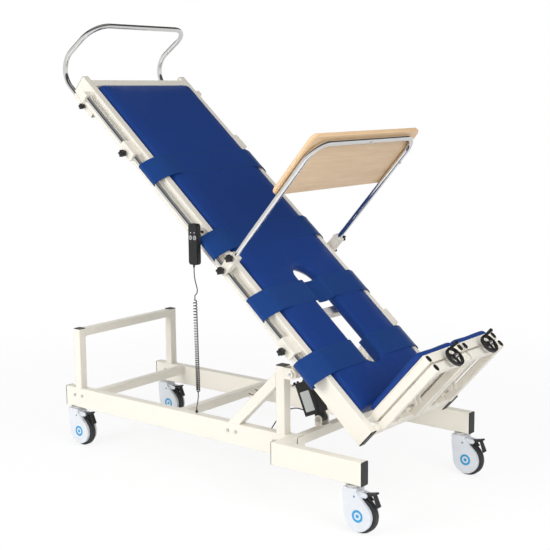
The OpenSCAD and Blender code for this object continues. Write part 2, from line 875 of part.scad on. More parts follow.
// Casters, drawn round the stem's axis with the wheel trailing towards +X
module cheek_outline() {
    tapered_bar([trail, axle_z], cheek_r, [0, neck_z], neck_r);
    translate([-neck_r, neck_z]) square([2 * neck_r, housing_top - neck_z]);
}
module caster_housing() {
    half = housing_w / 2;
    pocket = wheel_w / 2 + wheel_side_gap;
    difference() {
        union() {
            along_y(-half, half) cheek_outline();
            along_y(-brake_lug_w / 2, brake_lug_w / 2)
                tapered_bar(
                    neck_r * brake_root_at + [0, neck_z], brake_root_r,
                    [brake_x, brake_z], brake_lug_r
                );
        }
        y_pin(trail, axle_z, axle_z + tyre_gap, -pocket, pocket);
        translate([0, 0, housing_top - stem_depth - side_gap])
            cylinder(r = stem_r + fit, h = stem_depth + side_gap + over);
        translate([brake_x - brake_lug_w / 2, -brake_w / 2 - side_gap, brake_z - brake_lug_w])
            cube([brake_lug_w, brake_w + 2 * side_gap, 2 * brake_lug_w]);
        for (s = [-1, 1]) translate([0, s * half, 0]) {
            difference() {
                y_pin(trail, axle_z, ring_r, -ring_depth, ring_depth);
                y_pin(trail, axle_z, ring_in, -ring_depth - over, ring_depth + over);
            }
            y_pin(trail * dot_share, axle_z + dot_rise, dot_r, -ring_depth, ring_depth);
        }
    }
    y_pin(trail, axle_z, axle_r, -pocket - side_gap, pocket + side_gap);
    y_pin(brake_x, brake_z, brake_pin_r, -brake_w / 2 - over, brake_w / 2 + over);
}
module caster_wheel() {
    half = wheel_w / 2;
    translate([trail, 0, axle_z]) rotate([90, 0, 0]) rotate_extrude() {
        translate([axle_r + fit, -half]) square([axle_z - tread_r - axle_r - fit, wheel_w]);
        translate([axle_r + fit, -half + tread_r]) square([axle_z - axle_r - fit, wheel_w - 2 * tread_r]);
        for (s = [-1, 1]) translate([axle_z - tread_r, s * (half - tread_r)]) circle(tread_r);
    }
}
// Lever arm w wide: a flat bar with a round bar at each end
module lever(w, a, ra, b, rb) {
    run_a = unit(b - a);
    side = [-run_a[1], run_a[0]];
    y_pin(a[0], a[1], ra, -w / 2, w / 2);
    y_pin(b[0], b[1], rb, -w / 2, w / 2);
    along_y(-w / 2 + notch, w / 2 - notch) polygon([
        a + side * (ra - notch), b + side * (rb - notch), b - side * (rb - notch), a - side * (ra - notch)
    ]);
}
module caster_pedal() {
    difference() {
        union() {
            lever(brake_w, [brake_x, brake_z], brake_lug_r - small_step, tread_end, tread_end_r);
            lever(brake_w - brake_step, toe_top, tread_end_r - small_step, toe_end, toe_end_r);
            lever(brake_w - 2 * brake_step, shoe_root, shoe_r + small_step, shoe_end, shoe_r);
        }
        y_pin(brake_x, brake_z, brake_pin_r + fit, -brake_w, brake_w);
    }
}
module at_caster(i) {
    base_pose() translate([CASTERS[i][0], CASTERS[i][1], 0]) children();
}
module caster_rear_right_housing() { color(shell_white) at_caster(0) caster_housing(); }
module caster_rear_right_wheel() { color(black) at_caster(0) caster_wheel(); }
module caster_rear_right_pedal() { color(black) at_caster(0) caster_pedal(); }
module caster_rear_left_housing() { color(shell_white) at_caster(1) caster_housing(); }
module caster_rear_left_wheel() { color(black) at_caster(1) caster_wheel(); }
module caster_rear_left_pedal() { color(black) at_caster(1) caster_pedal(); }
module caster_front_right_housing() { color(shell_white) at_caster(2) caster_housing(); }
module caster_front_right_wheel() { color(black) at_caster(2) caster_wheel(); }
module caster_front_right_pedal() { color(black) at_caster(2) caster_pedal(); }
module caster_front_left_housing() { color(shell_white) at_caster(3) caster_housing(); }
module caster_front_left_wheel() { color(black) at_caster(3) caster_wheel(); }
module caster_front_left_pedal() { color(black) at_caster(3) caster_pedal(); }

// Actuator, drawn upright from its lower bolt and leant towards the bed lug
module actuator_pose() {
    base_pose() translate([clevis_dx, act_y, clevis_z]) rotate([0, -act_lean, 0]) children();
}
module actuator_housing() {
    mid = motor_front - motor_d / 2;
    color(black) actuator_pose() difference() {
        union() {
            y_pin(0, 0, tongue_r, -tongue_w / 2, tongue_w / 2);
            translate([-tongue_r, -tongue_w / 2, 0]) cube([2 * tongue_r, tongue_w, motor_z]);
            translate([mid, 0, motor_z]) linear_extrude(motor_l) rounded_rect(motor_d, motor_w, motor_r);
            translate([0, 0, motor_z + motor_l]) cylinder(r1 = motor_w / 2, r2 = act_tube_r, h = shoulder_h);
            cylinder(r = act_tube_r, h = act_tube_end);
            for (i = [0:rib_count - 1])
                translate([mid, 0, motor_z + motor_l * (rib_shares[0] + rib_shares[1] * i)])
                linear_extrude(rib_w) rounded_rect(motor_d + rib_w, motor_w - 2 * motor_r, rib_w);
        }
        y_pin(0, 0, act_bolt_r + fit, -tongue_w, tongue_w);
        translate([0, 0, act_bore_z]) cylinder(r = act_bore_r, h = act_tube_end);
    }
}
module actuator_rod() {
    color(chrome) actuator_pose() difference() {
        union() {
            translate([0, 0, act_len - act_rod_l]) cylinder(r = act_rod_r, h = act_rod_l - eye_r / 2);
            y_pin(0, act_len, eye_r, -eye_w / 2, eye_w / 2);
        }
        y_pin(0, act_len, act_bolt_r + fit, -eye_w, eye_w);
    }
}
module actuator_cable() {
    color(black) base_pose() swept_tube(cable_route, cable_d, lead_sides);
}

// Bed frame
module pivot_lug() {
    difference() {
        union() {
            circle(pivot_lug_r);
            polygon([
                [-pivot_lug_r, 0], [pivot_lug_r, 0],
                [pivot_lug_top, bed_under], [-pivot_lug_top, bed_under]
            ]);
        }
        circle(pivot_bolt_r + fit);
    }
}
module handle_socket() {
    difference() {
        union() {
            translate([-socket_mouth, 0, 0]) rotate([0, 90, 0]) cylinder(r = socket_r, h = socket_l);
            translate([-socket_mouth, -socket_saddle_w / 2, 0])
                cube([socket_l, socket_saddle_w, bed_under - handle_leg_n]);
        }
        translate([-socket_mouth - over, 0, 0]) rotate([0, 90, 0])
            cylinder(r = handle_d / 2 + fit, h = socket_l + 2 * over);
        y_pin(handle_knob_u, 0, knob_stud_r + fit, -2 * socket_r, 0);
    }
}
module bed_side_rails() {
    color(cream) bed_pose() both_sides() {
        translate([0, -bed_rail_y, bed_top - bed_rail_h / 2])
            along_x(-bed_head, bed_foot) tube_outline(bed_rail_w, bed_rail_h);
        along_y(-pivot_lug_y - pivot_lug_t, -pivot_lug_y) pivot_lug();
        translate([0, -handle_y, handle_leg_n]) handle_socket();
    }
}
module bed_cross(u, n, s) {
    translate([u, 0, n]) along_y(-bed_inner, bed_inner) tube_outline(s, s);
}
module act_lug() {
    difference() {
        union() {
            circle(lug_r);
            translate([-lug_r, 0]) square([2 * lug_r, bed_under + lug_drop]);
        }
        circle(act_bolt_r + fit);
    }
}
module bed_cross_tubes() {
    lug_y = eye_w / 2 + lug_gap;
    color(cream) bed_pose() {
        bed_cross(-bed_head + head_cross_inset + bed_cross_s / 2, bed_top - bed_cross_s / 2, bed_cross_s);
        for (u = bed_crosses) bed_cross(u, deck_n - bed_cross_s / 2, bed_cross_s);
        bed_cross(slot_foot + bed_cross_s, deck_n - bed_cross_s / 2, bed_cross_s);
        translate([foot_beam_u + foot_beam_w / 2, 0, bed_top - foot_beam_h / 2])
            along_y(-bed_inner, bed_inner) tube_outline(foot_beam_w, foot_beam_h);
        translate([-lug_back, act_y, -lug_drop]) {
            along_y(-lug_y - lug_t, -lug_y) act_lug();
            along_y(lug_y, lug_y + lug_t) act_lug();
            y_pin(0, 0, act_bolt_r, -lug_y - lug_t, lug_y + lug_t);
            y_pin(0, 0, act_head_r, -lug_y - lug_t - act_head_t, -lug_y - lug_t);
            y_pin(0, 0, act_head_r, lug_y + lug_t, lug_y + lug_t + act_head_t);
        }
    }
}
module slot_outline(margin) {
    r = slot_half - margin;
    translate([slot_foot - slot_half, 0]) circle(r);
    translate([-slot_head + slot_half, 0]) circle(r);
    translate([-slot_head + slot_half, -r]) square([slot_head + slot_foot - slot_w, 2 * r]);
}
module deck_board() {
    color([0.92, 0.92, 0.9]) bed_pose() translate([0, 0, deck_n]) linear_extrude(deck_t) difference() {
        translate([-cushion_head, -cushion_half]) square([cushion_head + cushion_foot, 2 * cushion_half]);
        slot_outline(-slot_cut_margin);
    }
}

// Closed loops of the cushion: the outer edge set in by d, and the slot's edge set out by d
function arc(c, r, a0, a1, steps) =
    [for (k = [1:steps]) let (a = along(a0, a1, k / (steps + 1))) c + r * [cos(a), sin(a)]];
function run(a, b, steps) = [for (k = [0:steps]) along(a, b, k / steps)];
function box_loop(x0, x1, h, r) = concat(
    run([x1, -h + r], [x1, h - r], end_steps), arc([x1 - r, h - r], r, 0, 90, corner_steps),
    run([x1 - r, h], [x0 + r, h], side_steps), arc([x0 + r, h - r], r, 90, 180, corner_steps),
    run([x0, h - r], [x0, -h + r], end_steps), arc([x0 + r, -h + r], r, 180, 270, corner_steps),
    run([x0 + r, -h], [x1 - r, -h], side_steps), arc([x1 - r, -h + r], r, 270, 360, corner_steps)
);
function end_arc(c, r, a0, a1) =
    [for (k = [0:end_steps]) let (a = along(a0, a1, k / end_steps)) c + r * [cos(a), sin(a)]];
function slot_loop(d) =
    let (r = slot_half + d, f = [slot_foot - slot_half, 0], h = [-slot_head + slot_half, 0])
    concat(
        end_arc(f, r, -60, 60), arc(f, r, 60, 90, corner_steps),
        run(f + [0, r], h + [0, r], side_steps), arc(h, r, 90, 120, corner_steps),
        end_arc(h, r, 120, 240), arc(h, r, 240, 270, corner_steps),
        run(h - [0, r], f - [0, r], side_steps), arc(f, r, 270, 300, corner_steps)
    );
function raise(loop, z) = [for (p = loop) [p[0], p[1], z]];
function cushion_loop(inset) =
    box_loop(-cushion_head + inset, cushion_foot - inset, cushion_half - inset, cushion_corner);
// Faces of a ring of loops that closes on itself
function ring_faces(loops, n) = concat(
    [for (i = [0:loops - 1], k = [0:n - 1]) [
        i * n + k, i * n + (k + 1) % n, ((i + 1) % loops) * n + k]],
    [for (i = [0:loops - 1], k = [0:n - 1]) [
        i * n + (k + 1) % n, ((i + 1) % loops) * n + (k + 1) % n, ((i + 1) % loops) * n + k]]
);
module cushion() {
    r = cushion_edge_r;
    t = cushion_t;
    loops = [
        raise(cushion_loop(drawn_in), 0),
        raise(cushion_loop(0), t * cushion_waist_share),
        raise(cushion_loop(0), t - r),
        raise(cushion_loop(r * (1 - cos(45))), t - r * (1 - sin(45))),
        raise(cushion_loop(r), t),
        raise(cushion_loop(flat_inset), t + crown),
        raise(slot_loop(slot_outset), t + crown),
        raise(slot_loop(r), t + crown / 2),
        raise(slot_loop(r * (1 - cos(45))), t - r * (1 - sin(45))),
        raise(slot_loop(0), t - r),
        raise(slot_loop(0), 0)
    ];
    color(blue) bed_pose() translate([0, 0, cushion_n])
        polyhedron([for (l = loops, p = l) p], ring_faces(len(loops), len(loops[0])));
}

// A strap lies over the cushion, bends over the side rail and wraps round the grip rail
function strap_path() =
    let (
        corner = [bed_face + small_step, bed_top + strap_t / 2 + small_step],
        c = [grip_y, grip_n],
        lean = atan2(c[1] - corner[1], c[0] - corner[0]),
        dir = lean + asin(strap_r / norm(c - corner))
    )
    concat(
        [[0, strap_top], [strap_crest, strap_top], [strap_crest + strap_dip_run, strap_top - strap_dip]],
        [[bed_inner - strap_dip_in, cushion_n + cushion_t + strap_t / 2 - small_step], corner],
        [for (k = [0:strap_wrap_steps])
            let (a = along(dir + 90, strap_wrap_end, k / strap_wrap_steps)) c + strap_r * [cos(a), sin(a)]]
    );
function path_normal(p, i) =
    let (t = unit(p[min(i + 1, len(p) - 1)] - p[max(i - 1, 0)])) [-t[1], t[0]];
module strap_outline() {
    p = strap_path();
    half = strap_t / 2;
    right = [for (i = [0:len(p) - 1]) p[i] + path_normal(p, i) * half];
    left = [for (i = [len(p) - 1:-1:0]) p[i] - path_normal(p, i) * half];
    polygon(concat(right, left));
    mirror([1, 0]) polygon(concat(right, left));
}
module straps() {
    color(blue) bed_pose() for (u = [-chest_strap, -hip_strap, -knee_strap, shin_strap])
        along_x(u - strap_w / 2, u + strap_w / 2) strap_outline();
}

// Grip rails and their brackets
module grip_rails() {
    color(chrome) bed_pose() both_sides() translate([-grip_head, -grip_y, grip_n])
        rotate([0, 90, 0]) cylinder(r = grip_r, h = grip_head + grip_foot);
}
module grip_bracket(u, l, knob) {
    difference() {
        translate([u - l / 2, -bracket_out, bracket_low]) cube([l, bracket_out - bed_face, bracket_h]);
        translate([u - l, -grip_y, grip_n]) rotate([0, 90, 0]) cylinder(r = grip_r + fit, h = 2 * l);
        if (knob) y_pin(u, rail_knob_n, knob_stud_r + fit, -bracket_out - over, -bed_face - over);
    }
}
module grip_saddle(u) {
    difference() {
        translate([u - end_bracket_l, -grip_y + saddle_set, grip_n - saddle_h / 2])
            cube([2 * end_bracket_l, grip_gap + grip_r - saddle_set, saddle_h]);
        translate([u - bracket_l, -grip_y, grip_n]) rotate([0, 90, 0])
            cylinder(r = grip_r + fit, h = 2 * bracket_l);
    }
}
module rail_brackets() {
    color(cream) bed_pose() both_sides() {
        grip_bracket(-grip_head + end_bracket_l / 2, end_bracket_l, false);
        grip_bracket(-upper_bracket, bracket_l, true);
        grip_bracket(-lower_bracket, bracket_l, true);
        grip_saddle(shin_strap);
    }
}
module rail_knobs(u) {
    stud = bracket_out - bed_face - bracket_inset;
    both_sides() translate([u, -bed_face - bracket_inset, rail_knob_n])
        star_knob(knob_r, knob_h, stud + knob_neck + small_step);
}
module rail_knobs_upper() { color(black) bed_pose() rail_knobs(-upper_bracket); }
module rail_knobs_lower() { color(black) bed_pose() rail_knobs(-lower_bracket); }
module bed_end_caps() {
    color(black) bed_pose() both_sides() {
        translate([bed_foot, -bed_rail_y, bed_top - bed_rail_h / 2])
            rotate([0, 90, 0]) tube_plug(bed_rail_h, bed_rail_w, cap_t);
        translate([-bed_head, -bed_rail_y, bed_top - bed_rail_h / 2])
            rotate([0, -90, 0]) tube_plug(bed_rail_h, bed_rail_w, plug_t);
        for (s = [-1, 1]) translate([frame_u + pedal_tube / 2, -pedal_y + s * tube_side_y, toe_n])
            tube_plug(pedal_tube, pedal_tube_w, pedal_plug_t);
    }
}

// Footrest: a fixed lower frame, and two pedals that hinge at the heel
module footrest_side() {
    for (s = [-1, 1]) translate([frame_u + pedal_tube / 2, s * tube_side_y, bed_top])
        linear_extrude(toe_n - bed_top) tube_outline(pedal_tube, pedal_tube_w);
    inner = tube_side_y - pedal_tube_w / 2;
    difference() {
        translate([frame_u + pedal_tube / 2, 0, toe_n - toe_bar / 2]) along_y(-inner, inner)
            square([pedal_tube, toe_bar], center = true);
        screw_pose() translate([0, 0, screw_len / 2]) cylinder(r = screw_r + fit, h = screw_len);
    }
    difference() {
        translate([screw_foot[0] - bearing_t / 2, -bearing_w / 2, bed_top])
            cube([foot_beam_u + foot_beam_w - screw_foot[0] + bearing_t / 2, bearing_w, bearing_t]);
        screw_pose() translate([0, 0, -bearing_t / 2]) cylinder(r = screw_r + fit, h = 2 * bearing_t);
    }
    for (s = [-1, 1], y = [s * (inner - hinge_ear_t / 2)]) along_y(y - hinge_ear_t / 2, y + hinge_ear_t / 2)
        difference() {
            union() {
                translate([hinge_u, hinge_n]) circle(hinge_ear_r);
                translate([hinge_u, hinge_n - hinge_ear_r])
                    square([frame_u + pedal_tube / 2 - hinge_u, 2 * hinge_ear_r]);
            }
            translate([hinge_u, hinge_n]) circle(hinge_pin_r);
        }
    for (s = [-1, 1]) y_pin(hinge_u, hinge_n, hinge_pin_r,
        min(s * (inner - hinge_ear_t), s * (inner - hinge_ear_t - barrel_l)) - (s < 0 ? hinge_ear_t : 0),
        max(s * (inner - hinge_ear_t), s * (inner - hinge_ear_t - barrel_l)) + (s > 0 ? hinge_ear_t : 0));
}
module screw_pose() {
    translate([screw_foot[0], 0, screw_foot[1]]) rotate([0, screw_lean, 0]) children();
}
module foot_side(side) {
    bed_pose() sided(side) translate([0, pedal_y, 0]) children();
}
module footrest_frame() {
    color(cream) {
        foot_side(-1) footrest_side();
        foot_side(1) footrest_side();
    }
}
// Path of the roller as seen from the pedal, which lifts evenly as the nut travels
function roller_at(k) =
    let (
        a = pedal_lift * k,
        p = nut_point + nut_travel * k * [sin(screw_lean), cos(screw_lean)] - [hinge_u, hinge_n]
    )
    [hinge_u + p[0] * cos(a) + p[1] * sin(a), hinge_n - p[0] * sin(a) + p[1] * cos(a)];
function roller_dir(k) = unit(roller_at(k + 1 / cam_steps) - roller_at(k - 1 / cam_steps));
function cam_point(k) = roller_at(k) + (roller_r + cam_gap) * [-roller_dir(k)[1], roller_dir(k)[0]];
module cam_outline() {
    polygon(concat(
        [for (i = [-1:cam_steps + 1]) cam_point(i / cam_steps)],
        [[pedal_u - plate_t / 2, cam_top_n], [pedal_u - plate_t / 2, cam_foot_n]]
    ));
}
module foot_pedal() {
    inner = tube_side_y - pedal_tube_w / 2;
    difference() {
        union() {
            for (s = [-1, 1]) translate([pedal_u + pedal_tube / 2, s * tube_side_y, pedal_heel_n])
                linear_extrude(toe_n - pedal_heel_n) tube_outline(pedal_tube, pedal_tube_w);
            translate([pedal_u + pedal_tube / 2, 0, toe_n - toe_bar / 2]) along_y(-inner, inner)
                square([pedal_tube, toe_bar], center = true);
            translate([pedal_u - plate_t, -pedal_w / 2, pad_heel_n])
                cube([plate_t, pedal_w, toe_n - pad_heel_n]);
            for (s = [-1, 1]) {
                y_mid = s * (inner - hinge_ear_t - side_gap - barrel_l / 2);
                y_pin(hinge_u, hinge_n, barrel_r, y_mid - barrel_l / 2 + side_gap, y_mid + barrel_l / 2);
                translate([pedal_u - plate_t / 2, y_mid - barrel_l / 4, pad_heel_n])
                    rotate([0, 0, 0]) cube([hinge_u - pedal_u + plate_t / 2, barrel_l / 2, plate_t]);
            }
            for (s = [-1, 1]) along_y(s * cam_y - cam_t / 2, s * cam_y + cam_t / 2) cam_outline();
        }
        y_pin(hinge_u, hinge_n, hinge_pin_r + fit, -pedal_w / 2, pedal_w / 2);
    }
    pedal_plugs();
}
module pedal_plugs() {
    for (s = [-1, 1]) translate([pedal_u + pedal_tube / 2, s * tube_side_y, toe_n])
        tube_plug(pedal_tube, pedal_tube_w, pedal_plug_t);
}
module foot_pedal_right() { color(cream) foot_side(-1) foot_pedal(); }
module foot_pedal_left() { color(cream) foot_side(1) foot_pedal(); }

// Padded sole of a pedal, with a soft edge all round
function pad_loop(inset) =
    let (
        r = cushion_corner / 2, h = pedal_w / 2 - inset,
        a = pad_heel_n + inset, b = pad_heel_n + pad_l - inset
    )
    concat(arc([b - r, h - r], r, 0, 90, corner_steps), arc([a + r, h - r], r, 90, 180, corner_steps),
           arc([a + r, -h + r], r, 180, 270, corner_steps), arc([b - r, -h + r], r, 270, 360, corner_steps));
function sole(loop, z) = [for (p = loop) [pad_u + pad_t - z, p[1], p[0]]];
module foot_pad() {
    r = pad_t * pad_edge_share;
    loops = [
        sole(pad_loop(small_step), 0), sole(pad_loop(0), pad_t * pad_waist_share),
        sole(pad_loop(0), pad_t - r - pad_crown),
        sole(pad_loop(r * (1 - cos(45))), pad_t - pad_crown - r * (1 - sin(45))),
        sole(pad_loop(r), pad_t - pad_crown),
        sole(pad_loop(r + flat_inset / 2), pad_t)
    ];
    n = len(loops[0]);
    last = len(loops) - 1;
    polyhedron(
        [for (l = loops, p = l) p],
        concat(
            [for (i = [0:last - 1], k = [0:n - 1]) [i * n + k, (i + 1) * n + k, i * n + (k + 1) % n]],
            [for (i = [0:last - 1], k = [0:n - 1])
                [i * n + (k + 1) % n, (i + 1) * n + k, (i + 1) * n + (k + 1) % n]],
            [for (k = [1:n - 2]) [0, k, k + 1]],
            [for (k = [1:n - 2]) [last * n, last * n + k + 1, last * n + k]]
        )
    );
}
module foot_pad_right() { color(blue) foot_side(-1) foot_pad(); }
module foot_pad_left() { color(blue) foot_side(1) foot_pad(); }

// Screw drive under each pedal: the nut's rollers run along the pedal's cam plates and lift the pedal
module pedal_nut() {
    screw_pose() difference() {
        union() {
            translate([-nut_side / 2, -nut_w / 2 + side_gap, nut_at - nut_l / 2])
                cube([nut_side, nut_w - 2 * side_gap, nut_l]);
            y_pin(0, nut_at, roller_r, -nut_w / 2 - roller_l, nut_w / 2 + roller_l);
        }
        translate([0, 0, nut_at - nut_l]) cylinder(r = screw_r + fit, h = 2 * nut_l);
    }
}
module pedal_screw() {
    screw_pose() {
        translate([0, 0, -bearing_t / 2]) cylinder(r = screw_r, h = screw_len + bearing_t / 2);
    }
}
module handwheel() {
    screw_pose() translate([0, 0, screw_len - handwheel_t]) {
        difference() {
            union() {
                difference() {
                    cylinder(r = handwheel_r, h = handwheel_t);
                    translate([0, 0, -over]) cylinder(r = handwheel_r - rim_w, h = handwheel_t + 2 * over);
                }
                for (i = [0:2]) rotate(120 * i)
                    translate([0, -spoke_w / 2, handwheel_t * (1 - spoke_share) / 2])
                    cube([handwheel_r - rim_w / 2, spoke_w, handwheel_t * spoke_share]);
                cylinder(r = hub_r, h = hub_l);
            }
            translate([0, 0, -over]) cylinder(r = screw_r, h = handwheel_t + over);
        }
        translate([-handwheel_r + rim_w / 2 + edge_step, 0, handwheel_t]) {
            cylinder(r = wheel_grip_r * grip_shares[0], h = wheel_grip_l);
            translate([0, 0, wheel_grip_l * grip_shares[1]])
                cylinder(r1 = wheel_grip_r * grip_shares[2], r2 = wheel_grip_r,
                         h = wheel_grip_l * grip_shares[3]);
        }
    }
}
module pedal_nut_right() { color(black) foot_side(-1) pedal_nut(); }
module pedal_nut_left() { color(black) foot_side(1) pedal_nut(); }
module pedal_screw_right() { color(chrome) foot_side(-1) pedal_screw(); }
module pedal_screw_left() { color(chrome) foot_side(1) pedal_screw(); }
module handwheel_right() { color(black) foot_side(-1) handwheel(); }
module handwheel_left() { color(black) foot_side(1) handwheel(); }

// Desk
module desk_tube() {
    path = [
        [-desk_back, -grip_y, desk_leg_n], [-desk_back, -grip_y, desk_bar_n],
        [-desk_back, grip_y, desk_bar_n], [-desk_back, grip_y, desk_leg_n]
    ];
    color(chrome) bed_pose() {
        bent_tube(path, [0, desk_bend, desk_bend, 0], desk_tube_d);
        for (p = [[-grip_y, desk_screw_n], [grip_y, desk_screw_n], [0, desk_bar_n]])
            translate([-desk_back, p[0], p[1]]) rotate([0, -90, 0]) {
                translate([0, 0, -desk_tube_r - desk_screw_head / 2]) {
                    cylinder(r = desk_screw_r, h = 2 * desk_tube_r + desk_screw_head / 2 + soft_gap);
                    cylinder(r = desk_screw_head, h = desk_screw_head / 2 + over);
                }
            }
    }
}
module desk_top() {
    color(beech) bed_pose()
        translate([-desk_back - desk_tube_r - soft_gap - desk_t, 0, desk_board_n + desk_depth / 2])
        rotate([90, 0, 90]) {
            translate([0, 0, desk_edge_r]) linear_extrude(desk_t - 2 * desk_edge_r)
                rounded_rect(desk_w, desk_depth, desk_corner);
            linear_extrude(desk_t)
                rounded_rect(desk_w - 2 * desk_edge_r, desk_depth - 2 * desk_edge_r,
                             desk_corner - desk_edge_r);
        }
}
module desk_clamp() {
    difference() {
        translate([-desk_back, -grip_y, desk_clamp_low]) linear_extrude(desk_clamp_h)
            rounded_rect(desk_clamp_l, desk_clamp_w, desk_clamp_r);
        translate([-desk_back, -grip_y, desk_leg_n - side_gap])
            cylinder(r = desk_tube_r + fit, h = desk_clamp_h);
        translate([-desk_back - desk_clamp_l, -grip_y, grip_n]) rotate([0, 90, 0])
            cylinder(r = grip_r + fit, h = 2 * desk_clamp_l);
        y_pin(-desk_back, desk_clamp_knob_n, knob_stud_r + fit, -grip_y - desk_clamp_w, -grip_y - grip_r);
        y_pin(-desk_back, desk_leg_knob_n, knob_stud_r + fit, -grip_y - desk_clamp_w, -grip_y - desk_tube_r);
    }
}
module desk_clamps() { color(cream) bed_pose() both_sides() desk_clamp(); }
module desk_knobs(n, reach) {
    both_sides() translate([-desk_back, -grip_y - reach - soft_gap, n])
        star_knob(knob_r, knob_h, desk_clamp_w / 2 - reach - soft_gap + knob_neck + small_step);
}
module desk_clamp_knobs() { color(black) bed_pose() desk_knobs(desk_clamp_knob_n, grip_r); }
module desk_leg_knobs() { color(black) bed_pose() desk_knobs(desk_leg_knob_n, desk_tube_r); }

// Push handle
module push_handle() {
    top_u = -handle_corner + handle_rise * tan(handle_lean);
    top_n = handle_leg_n + handle_rise;
    path = [
        [-handle_in, -handle_y, handle_leg_n], [-handle_corner, -handle_y, handle_leg_n],
        [top_u, -handle_y, top_n], [top_u, handle_y, top_n],
        [-handle_corner, handle_y, handle_leg_n], [-handle_in, handle_y, handle_leg_n]
    ];
    color(chrome) bed_pose()
        bent_tube(path, [0, handle_bend, handle_top_bend, handle_top_bend, handle_bend, 0], handle_d);
}
module handle_knobs() {
    reach = handle_d / 2 + soft_gap;
    color(black) bed_pose() both_sides() translate([handle_knob_u, -handle_y - reach, handle_leg_n])
        star_knob(handle_knob_r, handle_knob_h, socket_r - reach + knob_neck + small_step);
}

// Handset
module handset_case() {
    y0 = handset_back_y;
    color(black) base_pose() {
        translate([handset_x, 0, handset_top - handset_h / 2]) difference() {
            union() {
                along_y(y0 - handset_t, y0)
                    rounded_rect(handset_w - 2 * edge_step, handset_h - 2 * edge_step, handset_r);
                along_y(y0 - handset_t + case_step, y0 - case_step)
                    rounded_rect(handset_w, handset_h, handset_r);
            }
            for (s = [-1, 1])
                y_pin(
                    s * button_x, handset_h / 2 - button_drop, button_r + fit,
                    y0 - handset_t - over, y0 - handset_t + button_pocket
                );
        }
        translate([handset_x - hook_w / 2, 0, grip_at_handset_z]) {
            translate([0, y0, hook_rise - hook_drop]) cube([hook_w, over, hook_drop + hook_t]);
            translate([0, y0, hook_rise]) cube([hook_w, hook_in_y + hook_t - y0, hook_t]);
            translate([0, hook_in_y, hook_rise - hook_drop]) cube([hook_w, hook_t, hook_drop + hook_t]);
        }
        translate([handset_gland[0], handset_gland[1], handset_gland[2] - handset_gland_h])
            cylinder(r1 = cord_d * gland_tip_share, r2 = handset_gland_r, h = handset_gland_h + over);
    }
}
module handset_button(s) {
    y0 = handset_back_y - handset_t;
    base_pose() y_pin(
        handset_x + s * button_x, handset_top - button_drop, button_r,
        y0 - button_stand, y0 - button_stand + button_h
    );
}
module handset_button_up() { color([0.5, 0.5, 0.52]) handset_button(-1); }
module handset_button_down() { color([0.5, 0.5, 0.52]) handset_button(1); }

// Cord
module cord_lead_top() { color(black) base_pose() swept_tube(lead_top_route, cord_d, lead_sides); }
module cord_coil() { color(black) base_pose() swept_tube(coil_points, cord_d, curl_sides); }
module cord_lead_bottom() { color(black) base_pose() swept_tube(lead_bottom_route, cord_d, lead_sides); }

base_side_rails();
base_cross_tubes();
rest_frame();
pivot_posts();
post_braces();
base_end_caps();
base_bolts();
caster_stems();
cord_gland();
caster_rear_right_housing();
caster_rear_right_wheel();
caster_rear_right_pedal();
caster_rear_left_housing();
caster_rear_left_wheel();
caster_rear_left_pedal();
caster_front_right_housing();
caster_front_right_wheel();
caster_front_right_pedal();
caster_front_left_housing();
caster_front_left_wheel();
caster_front_left_pedal();
actuator_housing();
actuator_rod();
actuator_cable();
bed_side_rails();
bed_cross_tubes();
deck_board();
cushion();
straps();
grip_rails();
rail_brackets();
bed_end_caps();
rail_knobs_upper();
rail_knobs_lower();
footrest_frame();
foot_pedal_right();
foot_pedal_left();
foot_pad_right();
foot_pad_left();
pedal_nut_right();
pedal_nut_left();
pedal_screw_right();
pedal_screw_left();
handwheel_right();
handwheel_left();
desk_top();
desk_tube();
desk_clamps();
desk_clamp_knobs();
desk_leg_knobs();
push_handle();
handle_knobs();
handset_case();
handset_button_up();
handset_button_down();
cord_lead_top();
cord_coil();
cord_lead_bottom();
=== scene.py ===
import json
import math

import bmesh
import bpy
from mathutils import Matrix, Vector, noise


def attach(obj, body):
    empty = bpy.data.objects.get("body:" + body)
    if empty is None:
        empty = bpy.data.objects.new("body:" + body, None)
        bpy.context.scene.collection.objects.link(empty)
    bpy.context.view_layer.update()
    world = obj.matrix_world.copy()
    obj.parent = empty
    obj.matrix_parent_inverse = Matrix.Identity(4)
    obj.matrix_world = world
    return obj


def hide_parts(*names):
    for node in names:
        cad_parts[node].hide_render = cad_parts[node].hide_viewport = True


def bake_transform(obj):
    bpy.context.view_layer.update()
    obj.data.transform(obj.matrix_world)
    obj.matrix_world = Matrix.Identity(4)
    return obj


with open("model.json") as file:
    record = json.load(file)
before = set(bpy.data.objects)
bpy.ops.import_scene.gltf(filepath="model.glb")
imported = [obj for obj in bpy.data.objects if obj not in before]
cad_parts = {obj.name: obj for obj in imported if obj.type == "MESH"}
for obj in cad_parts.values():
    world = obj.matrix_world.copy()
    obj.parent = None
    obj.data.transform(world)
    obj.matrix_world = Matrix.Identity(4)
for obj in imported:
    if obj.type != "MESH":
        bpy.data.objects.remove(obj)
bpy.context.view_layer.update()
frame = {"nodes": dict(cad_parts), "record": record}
NODES = frame["nodes"]

# Places that the pieces are set from: the tilt pivot, the bed's angle and the bed's own directions
PIVOT = Vector((0.362, 0.0, 0.562))
TILT = math.radians(41.4)
ALONG = Vector((math.cos(TILT), 0, -math.sin(TILT)))
ACROSS = Vector((0, 1, 0))
ABOVE = Vector((math.sin(TILT), 0, math.cos(TILT)))


def on_bed(u, y, n):
    return PIVOT + ALONG * u + ACROSS * y + ABOVE * n


def on_base(x, y, z):
    return Vector((PIVOT.x + x, y, z))


# ---------------------------------------------------------------- camera

